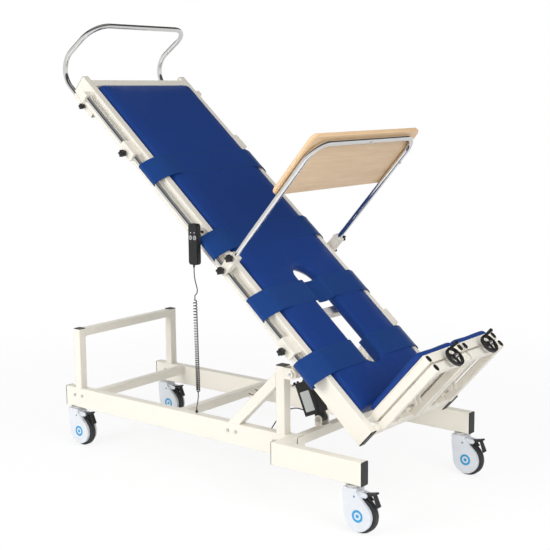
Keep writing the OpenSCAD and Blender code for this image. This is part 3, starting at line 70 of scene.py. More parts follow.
# Where the camera stands, how it is turned, and its focal length and middle in points of the square picture
CAMERA_PLACE = (PIVOT.x + 0.01075 + 2.7788, -3.9794, 1.7224)
CAMERA_YAW, CAMERA_PITCH, CAMERA_ROLL = 0.6798, 0.1541, -0.0104
SENSOR_WIDTH, PICTURE_SIDE, FOCAL_LENGTH = 36, 550, 1123.6
MIDDLE_ACROSS, MIDDLE_DOWN = 262.3, 268.8


def set_camera():
    data = bpy.data.cameras.new("studio_camera")
    cam = bpy.data.objects.new("studio_camera", data)
    bpy.context.scene.collection.objects.link(cam)
    level = math.cos(CAMERA_PITCH)
    ahead = Vector((-math.sin(CAMERA_YAW) * level, math.cos(CAMERA_YAW) * level, -math.sin(CAMERA_PITCH)))
    right = ahead.cross(Vector((0, 0, 1))).normalized()
    up = right.cross(ahead)
    side = right * math.cos(CAMERA_ROLL) + up * math.sin(CAMERA_ROLL)
    top = up * math.cos(CAMERA_ROLL) - right * math.sin(CAMERA_ROLL)
    turn = Matrix((side, top, -ahead)).transposed()
    cam.matrix_world = Matrix.Translation(CAMERA_PLACE) @ turn.to_4x4()
    data.sensor_width = SENSOR_WIDTH
    data.lens = FOCAL_LENGTH / PICTURE_SIDE * SENSOR_WIDTH
    data.shift_x = (PICTURE_SIDE / 2 - MIDDLE_ACROSS) / PICTURE_SIDE
    data.shift_y = (MIDDLE_DOWN - PICTURE_SIDE / 2) / PICTURE_SIDE
    data.clip_start, data.clip_end = 0.05, 60
    bpy.context.scene.camera = cam


set_camera()


# ---------------------------------------------------------------- mesh helpers

def new_piece(name, verts, faces, body, material, smooth=True):
    mesh = bpy.data.meshes.new(name)
    mesh.from_pydata([tuple(v) for v in verts], [], faces)
    mesh.validate()
    if smooth:
        mesh.polygons.foreach_set("use_smooth", [True] * len(mesh.polygons))
    obj = bpy.data.objects.new(name, mesh)
    bpy.context.scene.collection.objects.link(obj)
    mesh.materials.append(material)
    if body:
        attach(obj, body)
    return obj


def smooth_route(points, steps):
    """Catmull-Rom curve through the route's points."""
    pts = [Vector(p) for p in points]
    out = []
    for i in range(len(pts) - 1):
        a, b, c, d = pts[max(i - 1, 0)], pts[i], pts[i + 1], pts[min(i + 2, len(pts) - 1)]
        for k in range(steps):
            t = k / steps
            out.append(0.5 * (2 * b + (c - a) * t + (2 * a - 5 * b + 4 * c - d) * t * t
                              + (3 * b - a - 3 * c + d) * t ** 3))
    out.append(pts[-1])
    return out


def base_route(points, steps):
    """Curve through points on the base that are given in millimetres."""
    return smooth_route([on_base(x / 1000, y / 1000, z / 1000) for x, y, z in points], steps)


def ring_faces(rings, sides):
    """Quads between rings of vertices that follow each other."""
    return [(i * sides + k, i * sides + (k + 1) % sides, (i + 1) * sides + (k + 1) % sides, (i + 1) * sides + k)
            for i in range(rings - 1) for k in range(sides)]


def end_faces(rings, sides):
    """Flat faces that close the first and the last ring."""
    return [tuple(reversed(range(sides))), tuple(range((rings - 1) * sides, rings * sides))]


def tube(path, radius, sides):
    """Vertices and faces of a tube along a path; radius is a number or a function of the share along it."""
    n = len(path)
    heading = [(path[min(i + 1, n - 1)] - path[max(i - 1, 0)]).normalized() for i in range(n)]
    first = Vector((0, 0, 1)) if abs(heading[0].z) < 0.9 else Vector((1, 0, 0))
    across = heading[0].cross(first).normalized()
    verts = []
    for i in range(n):
        across = (across - heading[i] * across.dot(heading[i])).normalized()
        other = heading[i].cross(across)
        r = radius(i / (n - 1)) if callable(radius) else radius
        for k in range(sides):
            a = 2 * math.pi * k / sides
            verts.append(path[i] + r * (math.cos(a) * across + math.sin(a) * other))
    return verts, ring_faces(n, sides) + end_faces(n, sides)


# ---------------------------------------------------------------- shader helpers

def socket(group, name, kind, way, value=None):
    added = group.interface.new_socket(name=name, in_out=way, socket_type="NodeSocket" + kind)
    if value is not None:
        added.default_value = value


class Nodes:
    """Short way to place nodes in a tree and wire them."""

    def __init__(self, tree):
        self.tree = tree

    def add(self, kind, inputs=None, **settings):
        node = self.tree.nodes.new(kind)
        for key, value in settings.items():
            setattr(node, key, value)
        for key, value in (inputs or {}).items():
            target = node.inputs[key]
            if isinstance(value, bpy.types.NodeSocket):
                self.tree.links.new(value, target)
            else:
                target.default_value = value
        return node

    def maths(self, how, a, b=0.0, clamp=False):
        node = self.add("ShaderNodeMath", operation=how, use_clamp=clamp)
        for i, v in enumerate((a, b)):
            if isinstance(v, bpy.types.NodeSocket):
                self.tree.links.new(v, node.inputs[i])
            else:
                node.inputs[i].default_value = v
        return node.outputs[0]

    def cloud(self, where, scale, detail, distortion=0.0):
        """Value of a noise texture."""
        inputs = {"Vector": where, "Scale": scale, "Detail": detail, "Distortion": distortion}
        return self.add("ShaderNodeTexNoise", inputs).outputs[0]

    def stretched(self, where, scale, turn=(0, 0, 0)):
        return self.add("ShaderNodeMapping", {"Vector": where, "Scale": scale, "Rotation": turn}).outputs[0]

    def wire(self, source, target):
        self.tree.links.new(source, target)

    def blend(self, share, a, b):
        node = self.add("ShaderNodeMix", data_type="RGBA", blend_type="MIX")
        for key, v in ((0, share), (6, a), (7, b)):
            if isinstance(v, bpy.types.NodeSocket):
                self.tree.links.new(v, node.inputs[key])
            else:
                node.inputs[key].default_value = v
        return node.outputs[2]


def effect(name, sockets_in, sockets_out):
    """Node group with its sockets: the group, its tree, what it is given and what it puts out."""
    group = bpy.data.node_groups.new(name, "ShaderNodeTree")
    for n, kind, value in sockets_in:
        socket(group, n, kind, "INPUT", value)
    for n, kind in sockets_out:
        socket(group, n, kind, "OUTPUT")
    k = Nodes(group)
    return group, k, k.add("NodeGroupInput"), k.add("NodeGroupOutput")


def build_mottle():
    """Slow and fine colour drift with a matching roughness drift."""
    group, k, given, out = effect(
        "Mottle",
        [("Colour", "Color", (0.5, 0.5, 0.5, 1)), ("Drift", "Float", 0.06), ("Size", "Float", 6.0),
         ("Roughness", "Float", 0.4), ("Roughness drift", "Float", 0.08)],
        [("Colour", "Color"), ("Roughness", "Float")])
    place = k.add("ShaderNodeTexCoord").outputs["Object"]
    slow = k.cloud(place, given.outputs["Size"], 4.0)
    fine = k.cloud(place, 160.0, 3.0)
    both = k.maths("ADD", k.maths("MULTIPLY", slow, 0.7), k.maths("MULTIPLY", fine, 0.3))
    centred = k.maths("MULTIPLY", k.maths("SUBTRACT", both, 0.5), 2.0)
    value = k.maths("ADD", k.maths("MULTIPLY", centred, given.outputs["Drift"]), 1.0)
    hsv = k.add("ShaderNodeHueSaturation", {"Color": given.outputs["Colour"], "Value": value})
    rougher = k.maths("MULTIPLY", centred, given.outputs["Roughness drift"])
    rough = k.maths("ADD", rougher, given.outputs["Roughness"])
    k.wire(hsv.outputs[0], out.inputs["Colour"])
    k.wire(rough, out.inputs["Roughness"])
    return group


def build_orange_peel():
    """Height of sprayed powder coat."""
    group, k, given, out = effect("Orange peel", [("Size", "Float", 420.0)], [("Height", "Float")])
    place = k.add("ShaderNodeTexCoord").outputs["Object"]
    soft = k.cloud(place, given.outputs["Size"], 2.0)
    k.wire(soft, out.inputs["Height"])
    return group


def build_hide_grain():
    """Height of embossed vinyl: rounded pebbles between fine creases, and slow ripples; also a pebble mask for a
    painted highlight on the pebble tops.
    """
    group, k, given, out = effect(
        "Hide grain", [("Pebbles", "Float", 420.0), ("Ripple", "Float", 0.35), ("Ripple size", "Float", 9.0)],
        [("Height", "Float"), ("Painted highlight", "Float")])
    place = k.add("ShaderNodeTexCoord").outputs["Object"]
    bent = k.add("ShaderNodeTexNoise", {"Vector": place, "Scale": 60.0, "Detail": 2.0}).outputs["Color"]
    moved = k.add("ShaderNodeMix", {"Factor": 0.02}, data_type="VECTOR")
    k.wire(place, moved.inputs[4])
    k.wire(bent, moved.inputs[5])
    cell = k.add("ShaderNodeTexVoronoi", {"Vector": moved.outputs[1], "Scale": given.outputs["Pebbles"]},
                 feature="DISTANCE_TO_EDGE").outputs["Distance"]
    pebble = k.maths("MULTIPLY", cell, 3.0, clamp=True)
    slow = k.cloud(place, given.outputs["Ripple size"], 3.0)
    ripple = k.maths("MULTIPLY", slow, given.outputs["Ripple"])
    height = k.maths("ADD", k.maths("MULTIPLY", pebble, 0.25), ripple)
    k.wire(height, out.inputs["Height"])
    k.wire(pebble, out.inputs["Painted highlight"])
    return group


def build_plank_grain():
    """Long beech figure with short dark flecks, running along one axis."""
    group, k, given, out = effect(
        "Plank grain", [("Pale", "Color", (0.8, 0.6, 0.4, 1)), ("Deep", "Color", (0.6, 0.4, 0.24, 1))],
        [("Colour", "Color"), ("Height", "Float")])
    place = k.add("ShaderNodeTexCoord").outputs["Object"]
    figure = k.cloud(k.stretched(place, (14.0, 1.4, 14.0)), 3.2, 6.0, 0.6)
    fibre = k.cloud(k.stretched(place, (260.0, 12.0, 260.0)), 1.0, 4.0)
    fleck_way = k.stretched(place, (420.0, 60.0, 420.0))
    fleck = k.add("ShaderNodeTexVoronoi", {"Vector": fleck_way, "Scale": 1.0}).outputs["Distance"]
    dark = k.maths("LESS_THAN", fleck, 0.16)
    bands = k.add("ShaderNodeValToRGB", {"Fac": figure})
    bands.color_ramp.elements[0].position = 0.35
    bands.color_ramp.elements[1].position = 0.68
    fine = k.maths("MULTIPLY", fibre, 0.35)
    share = k.maths("ADD", k.maths("MULTIPLY", bands.outputs[0], 0.5), fine, clamp=True)
    share = k.maths("ADD", share, k.maths("MULTIPLY", dark, 0.35), clamp=True)
    tone = k.blend(share, given.outputs["Pale"], given.outputs["Deep"])
    k.wire(tone, out.inputs["Colour"])
    k.wire(fibre, out.inputs["Height"])
    return group


def build_scuffs():
    """Thin random scratches as a mask."""
    group, k, given, out = effect("Scuffs", [("Density", "Float", 0.5)], [("Mask", "Float")])
    place = k.add("ShaderNodeTexCoord").outputs["Object"]
    lines = k.cloud(k.stretched(place, (900.0, 40.0, 200.0), (0.3, 0.5, 0.2)), 1.0, 2.0)
    sharp = k.maths("SUBTRACT", lines, 0.62, clamp=True)
    mask = k.maths("MULTIPLY", sharp, k.maths("MULTIPLY", given.outputs["Density"], 6.0), clamp=True)
    k.wire(mask, out.inputs["Mask"])
    return group


MOTTLE = build_mottle()
ORANGE_PEEL = build_orange_peel()
HIDE_GRAIN = build_hide_grain()
PLANK_GRAIN = build_plank_grain()
SCUFFS = build_scuffs()


def start_material(name):
    material = bpy.data.materials.new(name)
    material.use_nodes = True
    k = Nodes(material.node_tree)
    shader = material.node_tree.nodes["Principled BSDF"]
    return material, k, shader


def use(k, group, inputs):
    node = k.add("ShaderNodeGroup")
    node.node_tree = group
    for key, value in inputs.items():
        node.inputs[key].default_value = value
    return node


def raise_surface(k, shader, height, depth, strength):
    bump = k.add("ShaderNodeBump", {"Height": height, "Distance": depth, "Strength": strength})
    k.wire(bump.outputs[0], shader.inputs["Normal"])


def tint(k, shader, colour, drift, size, rough, rough_drift):
    mottle = use(k, MOTTLE, {"Colour": (*colour, 1), "Drift": drift, "Size": size, "Roughness": rough,
                             "Roughness drift": rough_drift})
    k.wire(mottle.outputs["Colour"], shader.inputs["Base Color"])
    k.wire(mottle.outputs["Roughness"], shader.inputs["Roughness"])
    return mottle


def powder_coat(name, colour):
    material, k, shader = start_material(name)
    tint(k, shader, colour, drift=0.025, size=5.0, rough=0.34, rough_drift=0.05)
    peel = use(k, ORANGE_PEEL, {"Size": 380.0}).outputs[0]
    raise_surface(k, shader, peel, depth=0.0002, strength=0.14)
    shader.inputs["Coat Weight"].default_value = 0.15
    shader.inputs["Coat Roughness"].default_value = 0.2
    return material


def moulded(name, colour, rough=0.45, size=900.0, depth=0.00012):
    material, k, shader = start_material(name)
    tint(k, shader, colour, drift=0.10, size=9.0, rough=rough, rough_drift=0.07)
    raise_surface(k, shader, use(k, ORANGE_PEEL, {"Size": size}).outputs[0], depth, strength=0.6)
    return material


def plated(name, colour, rough):
    material, k, shader = start_material(name)
    mottle = tint(k, shader, colour, drift=0.03, size=12.0, rough=rough, rough_drift=0.03)
    scuffs = use(k, SCUFFS, {"Density": 0.4})
    more = k.maths("ADD", mottle.outputs["Roughness"], k.maths("MULTIPLY", scuffs.outputs[0], 0.12))
    k.wire(more, shader.inputs["Roughness"])
    shader.inputs["Metallic"].default_value = 1.0
    return material


def vinyl(name, colour, pale, ripple=0.35):
    material, k, shader = start_material(name)
    mottle = tint(k, shader, colour, drift=0.10, size=4.0, rough=0.40, rough_drift=0.06)
    grain = use(k, HIDE_GRAIN, {"Ripple": ripple})
    # Painted highlight: the pebble tops are blended towards the paler blue, which leaves painted shade in the
    # creases.
    painted_crest_highlight = k.maths("MULTIPLY", grain.outputs["Painted highlight"], 0.25)
    high = k.blend(painted_crest_highlight, mottle.outputs["Colour"], (*pale, 1))
    k.wire(high, shader.inputs["Base Color"])
    raise_surface(k, shader, grain.outputs["Height"], depth=0.0009, strength=0.5)
    shader.inputs["Specular IOR Level"].default_value = 0.22
    return material


def lacquered_beech(name):
    material, k, shader = start_material(name)
    grain = use(k, PLANK_GRAIN, {"Pale": (0.86, 0.64, 0.40, 1), "Deep": (0.72, 0.48, 0.275, 1)})
    k.wire(grain.outputs["Colour"], shader.inputs["Base Color"])
    raise_surface(k, shader, grain.outputs["Height"], depth=0.0002, strength=0.3)
    shader.inputs["Roughness"].default_value = 0.38
    shader.inputs["Coat Weight"].default_value = 0.2
    return material


CREAM = powder_coat("cream_powder_coat", (0.84, 0.80, 0.71))
BLACK = moulded("black_moulding", (0.011, 0.011, 0.012))
BLACK_CORD = moulded("black_cord_jacket", (0.007, 0.007, 0.008), 0.5, 500.0)
TYRE = moulded("black_tread_rubber", (0.03, 0.03, 0.032), 0.6, 300.0, 0.0003)
CHROME = plated("polished_chrome", (0.80, 0.80, 0.79), 0.07)
STEEL = plated("zinc_plated_steel", (0.62, 0.62, 0.60), 0.28)
BLUE = vinyl("royal_blue_vinyl", (0.008, 0.042, 0.213), (0.013, 0.058, 0.290))
BLUE_STRAP = vinyl("royal_blue_strap", (0.008, 0.046, 0.198), (0.015, 0.063, 0.275), 0.15)
BEECH = lacquered_beech("lacquered_beech")
LAMINATE = moulded("white_laminate", (0.80, 0.80, 0.77), 0.35, 300.0)
SHELL = moulded("caster_shell_grey", (0.70, 0.73, 0.77), 0.32, 400.0)
RING_BLUE = moulded("caster_ring_blue", (0.02, 0.32, 0.62), 0.35, 400.0)
LABEL = moulded("blank_silver_plate", (0.66, 0.69, 0.69), 0.4, 300.0, 0.00005)
RIVET = moulded("rivet_blue_grey", (0.20, 0.30, 0.38), 0.35, 400.0)
MARK = moulded("pale_print", (0.75, 0.75, 0.75), 0.5, 300.0, 0.00005)
GREY = moulded("grey_button", (0.22, 0.23, 0.25), 0.5, 500.0)

FINISHES = {
    "cream_paint": CREAM, "black_plastic": BLACK, "black_cord": BLACK_CORD, "chrome_tube": CHROME,
    "steel_bolt": STEEL, "blue_vinyl": BLUE, "blue_webbing": BLUE_STRAP, "beech_board": BEECH,
    "white_laminate": LAMINATE, "grey_button": GREY, "caster_shell": SHELL, "black_tyre": TYRE,
}


def dress_nodes():
    for part in frame["record"]["subparts"]:
        obj = NODES[part["node"]]
        obj.data.materials.clear()
        obj.data.materials.append(FINISHES[part["material_slot"]])


dress_nodes()


# ---------------------------------------------------------------- curly cord

CORD_D = 0.0045
COIL_TOP = on_base(-0.480, -0.405, 0.846)
COIL_BOTTOM = on_base(-0.539, -0.331, 0.390)
CURLS, CURL_STEPS, CURL_D, CURL_CROWDING = 40, 14, 0.020, 0.07
CABLE_D = 0.005
# Routes on the base in millimetres: the handset cord's lower and upper lead, and the actuator's cable
LOWER_LEAD = ((-539, -331, 390), (-539, -331, 385), (-540, -330, 374), (-544, -328, 360), (-550, -324, 346),
              (-557, -319, 332), (-563, -316, 320), (-566, -314, 312), (-566, -314, 305))
UPPER_LEAD = ((-476, -411.5, 980.3), (-476, -411.5, 973.5), (-475, -412, 952), (-471, -412.5, 929),
              (-465, -412, 906), (-461, -410, 888), (-464, -408, 872), (-472, -406, 862), (-479.5, -405, 857),
              (-480, -405, 852), (-480, -405, 846.8))
CABLE_ROUTE = ((-69, -160.3, 356), (-69, -166, 356), (-76, -172, 359), (-89, -177, 362), (-104, -184, 362),
               (-119, -194, 358), (-132, -208, 350), (-142, -226, 338), (-148, -246, 322), (-151, -264, 306),
               (-152, -279, 293), (-152, -287, 287), (-152, -293, 285), (-152, -298.7, 285))


def coil_route():
    """Curls from the coil's top to its bottom; they crowd a little towards the bottom and close in at both ends."""
    axis = (COIL_BOTTOM - COIL_TOP).normalized()
    side = axis.cross(Vector((0, 1, 0))).normalized()
    front = axis.cross(side)
    start, end = COIL_TOP + axis * CORD_D, COIL_BOTTOM - axis * CORD_D
    reach = (CURL_D - CORD_D) / 2
    total = CURLS * CURL_STEPS
    path = [COIL_TOP.copy()]
    for i in range(total + 1):
        t = i / total
        r = reach * min(1, i / CURL_STEPS, (total - i) / CURL_STEPS)
        a = 2 * math.pi * i / CURL_STEPS
        path.append(start + (end - start) * (t + CURL_CROWDING * math.sin(math.pi * t))
                    + r * (math.cos(a) * side + math.sin(a) * front))
    path.append(COIL_BOTTOM.copy())
    return path


def lay_handset_cord():
    path = list(reversed(base_route(LOWER_LEAD, 3))) + list(reversed(coil_route()))[1:]
    verts, faces = tube(path, CORD_D / 2, 8)
    cord = new_piece("handset_cord", verts, faces, None, BLACK_CORD)
    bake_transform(cord)
    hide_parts("cord_coil", "cord_lead_bottom")
    top = list(reversed(base_route(UPPER_LEAD, 4)))
    verts, faces = tube(top, CORD_D / 2, 8)
    lead = new_piece("handset_lead", verts, faces, None, BLACK_CORD)
    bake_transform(lead)
    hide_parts("cord_lead_top")


def lay_actuator_cable():
    path = base_route(CABLE_ROUTE, 5)
    verts, faces = tube(path, CABLE_D / 2, 10)
    cable = new_piece("actuator_lead", verts, faces, None, BLACK_CORD)
    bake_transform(cable)
    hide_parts("actuator_cable")


lay_handset_cord()
lay_actuator_cable()


# ---------------------------------------------------------------- soft pieces

STADIUM_SIDES = 48


def stadium(name, half, head, foot, low, high):
    """Block with round ends that runs along the bed's middle, in distances along, across and above the bed."""
    verts = []
    for z in (low, high):
        for k in range(STADIUM_SIDES):
            a = 2 * math.pi * (k + 0.5) / STADIUM_SIDES
            mid = foot - half if math.cos(a) > 0 else head + half
            verts.append((mid + half * math.cos(a), half * math.sin(a), z))
    faces = end_faces(2, STADIUM_SIDES) + ring_faces(2, STADIUM_SIDES)
    mesh = bpy.data.meshes.new(name)
    mesh.from_pydata(verts, [], faces)
    obj = bpy.data.objects.new(name, mesh)
    bpy.context.scene.collection.objects.link(obj)
    return obj


def make_active(obj):
    bpy.context.view_layer.objects.active = obj
    for other in bpy.context.selected_objects:
        other.select_set(False)
    obj.select_set(True)


def carve(obj, block):
    """Cuts the block out of the piece; the block goes."""
    make_active(obj)
    mod = obj.modifiers.new("carve", "BOOLEAN")
    mod.operation = "DIFFERENCE"
    mod.object = block
    bpy.ops.object.modifier_apply(modifier=mod.name)
    block_mesh = block.data
    bpy.data.objects.remove(block)
    bpy.data.meshes.remove(block_mesh)


CLOTH_FRAMES = 20
SWELL_CAP = 0.004


def blow_up(obj, pressure):
    """Where the mesh's points come to when the piece is blown up as cloth."""
    cloth = obj.modifiers.new("stuffing", "CLOTH")
    s = cloth.settings
    s.quality = 4
    s.mass = 0.25
    s.tension_stiffness = s.compression_stiffness = 25
    s.shear_stiffness = 12
    s.bending_stiffness = 2
    s.use_pressure = True
    s.uniform_pressure_force = pressure
    s.effector_weights.gravity = 0
    cloth.point_cache.frame_start, cloth.point_cache.frame_end = 1, CLOTH_FRAMES
    for f in range(1, CLOTH_FRAMES + 1):
        bpy.context.scene.frame_set(f)
    dg = bpy.context.evaluated_depsgraph_get()
    held = obj.evaluated_get(dg).to_mesh()
    blown = [v.co.copy() for v in held.vertices]
    obj.evaluated_get(dg).to_mesh_clear()
    obj.modifiers.remove(cloth)
    bpy.context.scene.frame_set(1)
    return blown


def swell(name, node, voxel, pressure, fuller, free_share, hollow=None):
    """Copy of a CAD cushion, blown up like stuffed vinyl.

    fuller(point) moves its points first, hollow is a block to cut out, free_share(point) is the share of free swell.
    """
    src = NODES[node]
    mesh = src.data.copy()
    mesh.name = name
    flat = Matrix((ALONG, ACROSS, ABOVE)).to_4x4() @ Matrix.Translation(-PIVOT)
    mesh.transform(flat @ src.matrix_world)
    for v in mesh.vertices:
        v.co = fuller(v.co)
    obj = bpy.data.objects.new(name, mesh)
    bpy.context.scene.collection.objects.link(obj)
    bm = bmesh.new()
    bm.from_mesh(mesh)
    bmesh.ops.remove_doubles(bm, verts=bm.verts, dist=1e-5)
    bm.to_mesh(mesh)
    bm.free()
    if hollow:
        carve(obj, hollow)
    make_active(obj)
    mod = obj.modifiers.new("even_mesh", "REMESH")
    mod.mode = "VOXEL"
    mod.voxel_size = voxel
    mod.use_smooth_shade = True
    bpy.ops.object.modifier_apply(modifier=mod.name)
    mesh = obj.data
    rest = [v.co.copy() for v in mesh.vertices]
    blown = blow_up(obj, pressure)
    for v, a, b in zip(mesh.vertices, rest, blown):
        step = b - a
        if step.length > SWELL_CAP:
            step = step * (SWELL_CAP / step.length)
        v.co = a + step * free_share(a)
    bm = bmesh.new()
    bm.from_mesh(mesh)
    for _ in range(2):
        bmesh.ops.smooth_vert(bm, verts=bm.verts, factor=0.5, use_axis_x=True, use_axis_y=True, use_axis_z=True)
    bm.to_mesh(mesh)
    bm.free()
    mesh.polygons.foreach_set("use_smooth", [True] * len(mesh.polygons))
    mesh.transform(flat.inverted())
    return obj


def upholster(obj, body, nodes, material):
    obj.data.materials.clear()
    obj.data.materials.append(material)
    sub = obj.modifiers.new("finer", "SUBSURF")
    sub.levels = sub.render_levels = 1
    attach(obj, body)
    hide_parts(*nodes)


# Heights above the bed's frame and distances along and across it: cushion, its slot, the soles and the deck board
CUSHION_LOW, CUSHION_EDGE, CUSHION_CROWN = 0.098, 0.144, 0.149
CUSHION_RISE, RISE_END, RISE_RUN = 0.008, 0.27, 0.12
SLOT_HEAD, SLOT_FOOT, SLOT_HALF = -0.416, 0.128, 0.052
SLOT_SPREAD, SPREAD_REACH, SLOT_CORE = 0.009, 0.03, 0.02
RAIL_SHOULDER, SHOULDER_RUN, OVER_RAIL, SIDE_FROM = 0.138, 0.004, 0.005, 0.25
EDGE_R = 0.013
LIP_HALF, LIP_LOW, LIP_REACH = 0.122, 0.112, 0.046
FLAT_LOW, FLAT_RUN = 0.004, 0.02
SOLE_RISE, SOLE_HEEL, SOLE_RUN = 0.007, 0.165, 0.05
SOLE_BACK, SOLE_BACK_RUN, SOLE_FREE, SOLE_FREE_RUN = 0.347, 0.025, 0.345, 0.012
BOARD_LOW, BOARD_TOP = 0.086, 0.098
BOARD_HEAD, BOARD_FOOT, BOARD_HALF = -1.672, 0.319, 0.3095
OVERCUT, DECK_CUT_LOW, DECK_CUT_TOP = 0.02, 0.05, 0.12


def ramp(distance, run):
    """Share of a run that a distance covers, from 0 to 1."""
    return min(1.0, max(0.0, distance / run))


def full_cushion(p):
    """The stuffing stands a little higher than the board it is cut for, and draws back round the slot."""
    share = ramp(RISE_END - p.x, RISE_RUN)
    height = (p.z - CUSHION_LOW) * (1 + share * CUSHION_RISE / (CUSHION_EDGE - CUSHION_LOW))
    p = Vector((p.x, p.y, CUSHION_LOW + height))
    middle = Vector((min(SLOT_FOOT - SLOT_HALF, max(SLOT_HEAD + SLOT_HALF, p.x)), 0))
    away = Vector((p.x, p.y)) - middle
    spread = SLOT_SPREAD * (1 - ramp(away.length - SLOT_HALF, SPREAD_REACH))
    if away.length > SLOT_CORE:
        away = away * (1 + spread / away.length)
    over_rail = OVER_RAIL * share * ramp(p.z - RAIL_SHOULDER, SHOULDER_RUN) * (abs(p.y) > SIDE_FROM)
    return Vector((middle.x + away.x, middle.y + away.y + math.copysign(over_rail, p.y), p.z))


def full_sole(p):
    """The sole's stuffing grows thicker from the heel up; the side at the board stays where it is."""
    share = ramp(p.z - SOLE_HEEL, SOLE_RUN) * ramp(SOLE_BACK - p.x, SOLE_BACK_RUN)
    return Vector((p.x - SOLE_RISE * share, p.y, p.z))


def under_slot(name, low, high):
    """Block round the slot, wider than the slot itself."""
    return stadium(name, LIP_HALF, SLOT_HEAD - LIP_REACH, SLOT_FOOT + LIP_REACH, low, high)


def make_deck():
    """Board under the cushion, open wider than the slot so that its edge stays out of sight."""
    corners = ((BOARD_HEAD, -BOARD_HALF), (BOARD_FOOT, -BOARD_HALF), (BOARD_FOOT, BOARD_HALF),
               (BOARD_HEAD, BOARD_HALF))
    verts = [(u, y, n) for n in (BOARD_LOW, BOARD_TOP) for u, y in corners]
    faces = end_faces(2, len(corners)) + ring_faces(2, len(corners))
    board = new_piece("deck_board_open", verts, faces, "bed", LAMINATE, smooth=False)
    carve(board, under_slot("deck_opening", DECK_CUT_LOW, DECK_CUT_TOP))
    for v in board.data.vertices:
        v.co = on_bed(*v.co)
    edge = board.modifiers.new("eased_edge", "BEVEL")
    edge.width, edge.segments, edge.limit_method = 0.001, 2, "ANGLE"
    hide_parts("deck_board")


def make_cushions():
    pad = swell("bed_cushion", "cushion", voxel=0.010, pressure=3.0, fuller=full_cushion,
                free_share=lambda p: ramp(p.z - CUSHION_LOW - FLAT_LOW, FLAT_RUN),
                hollow=under_slot("under_slot", CUSHION_LOW - OVERCUT, LIP_LOW))
    upholster(pad, "bed", ["cushion"], BLUE)
    for side in ("right", "left"):
        sole = swell("sole_pad_" + side, "foot_pad_" + side, voxel=0.006, pressure=4.0, fuller=full_sole,
                     free_share=lambda p: ramp(SOLE_FREE - p.x, SOLE_FREE_RUN))
        upholster(sole, "foot_pedal_" + side, ["foot_pad_" + side], BLUE)


make_cushions()
make_deck()


GRIP_Y, GRIP_N, GRIP_R = 0.380, 0.102, 0.0125
STRAP_W, STRAP_T = 0.122, 0.003
STRAP_COLS, LOOP_STEPS, LOOP_END = 16, 14, math.radians(-125)
HEM_FROM, HEM_T, WAVE = 0.86, 0.0006, 0.0004
STRAP_TOP = CUSHION_CROWN + CUSHION_RISE + STRAP_T / 2 + 0.0016
STRAP_CORNER = Vector((0.351, 0.136 + STRAP_T / 2 + 0.001))
# Middle and radius of the loop round a grip rail
TIGHT_LOOP = (Vector((GRIP_Y, GRIP_N)), GRIP_R + 0.0003 + STRAP_T / 2)
LOOSE_LOOP = (Vector((0.3795, 0.0925)), 0.0245)
# Points of a strap's line as distance from the bed's middle and depth under the strap's top
FLAT_RUNS = ((0, 0), (0.12, 0))
SAG_RUNS = ((0, 0.026), (0.024, 0.0248), (0.041, 0.0185), (0.051, 0.009), (0.060, 0.0025), (0.075, 0), (0.12, 0))
SPLIT_RUNS = ((0.086, 0.002), (0.12, 0))
SIDE_RUNS = ((0.24, 0), (0.28, 0.0008), (0.299, 0.003), (0.315, 0.0068))


def below_top(points):
    return [Vector((y, STRAP_TOP - depth)) for y, depth in points]


def strap_line(kind):
    """Centre line of a strap across the bed, as distance to the side and height: half of it, from the middle out."""
    centre, r = LOOSE_LOOP if kind == "split" else TIGHT_LOOP
    away = centre - STRAP_CORNER
    lean = math.atan2(away.y, away.x) + math.asin(r / away.length)
    if kind == "split":
        wall = SLOT_HALF + SLOT_SPREAD - STRAP_T / 2 - 0.0045
        turn = Vector((wall + EDGE_R + STRAP_T / 2, CUSHION_EDGE + CUSHION_RISE - EDGE_R))
        bend = turn.x - wall
        pts = [Vector((wall - 0.001, 0.104)), Vector((wall - 0.0005, 0.116)), Vector((wall, 0.128))]
        pts += [turn + Vector((-math.cos(a), math.sin(a))) * bend for a in map(math.radians, (10, 30, 50, 70))]
        pts += below_top(SPLIT_RUNS)
    else:
        pts = below_top(SAG_RUNS if kind == "sagging" else FLAT_RUNS)
    pts += below_top(SIDE_RUNS) + [STRAP_CORNER]
    start = lean + math.pi / 2
    for k in range(LOOP_STEPS + 1):
        a = start + (LOOP_END - start) * k / LOOP_STEPS
        pts.append(centre + Vector((math.cos(a), math.sin(a))) * r)
    return pts


def make_strap(name, u_mid, kind):
    half = strap_line(kind)
    right = [Vector((-p.x, 0, p.y)) for p in reversed(half)]
    left = [Vector((p.x, 0, p.y)) for p in half]
    runs = [right, left] if kind == "split" else [right + left[1:]]
    verts, faces = [], []
    for run in runs:
        line = smooth_route(run, 3)
        rows, first = len(line), len(verts)
        for i, p in enumerate(line):
            ahead = (line[min(i + 1, rows - 1)] - line[max(i - 1, 0)]).normalized()
            out = Vector((-ahead.z, 0, ahead.x))
            for j in range(STRAP_COLS + 1):
                s = j / STRAP_COLS * 2 - 1
                lift = WAVE * noise.noise(Vector((p.x * 9, s * 1.4, u_mid * 7)))
                hem = HEM_T if abs(s) > HEM_FROM else 0.0
                q = p + out * (lift + hem)
                verts.append(on_bed(u_mid + s * STRAP_W / 2, q.x, q.z))
        for i in range(rows - 1):
            for j in range(STRAP_COLS):
                a = first + i * (STRAP_COLS + 1) + j
                faces.append((a, a + 1, a + STRAP_COLS + 2, a + STRAP_COLS + 1))
    obj = new_piece(name, verts, faces, "bed", BLUE_STRAP)
    thick = obj.modifiers.new("thickness", "SOLIDIFY")
    thick.thickness = STRAP_T
    thick.offset = 0
    round_off = obj.modifiers.new("soft_edge", "BEVEL")
    round_off.width = 0.0009
    round_off.segments = 2
    round_off.limit_method = "ANGLE"
    return obj


def make_straps():
    for name, u, kind in (("strap_chest", -1.110, "flat"), ("strap_hip", -0.645, "flat"),
                          ("strap_knee", -0.285, "sagging"), ("strap_shin", 0.066, "split")):
        strap = make_strap(name, u, kind)
        if name == "strap_chest":
            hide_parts("straps")


make_straps()


# ---------------------------------------------------------------- small fittings

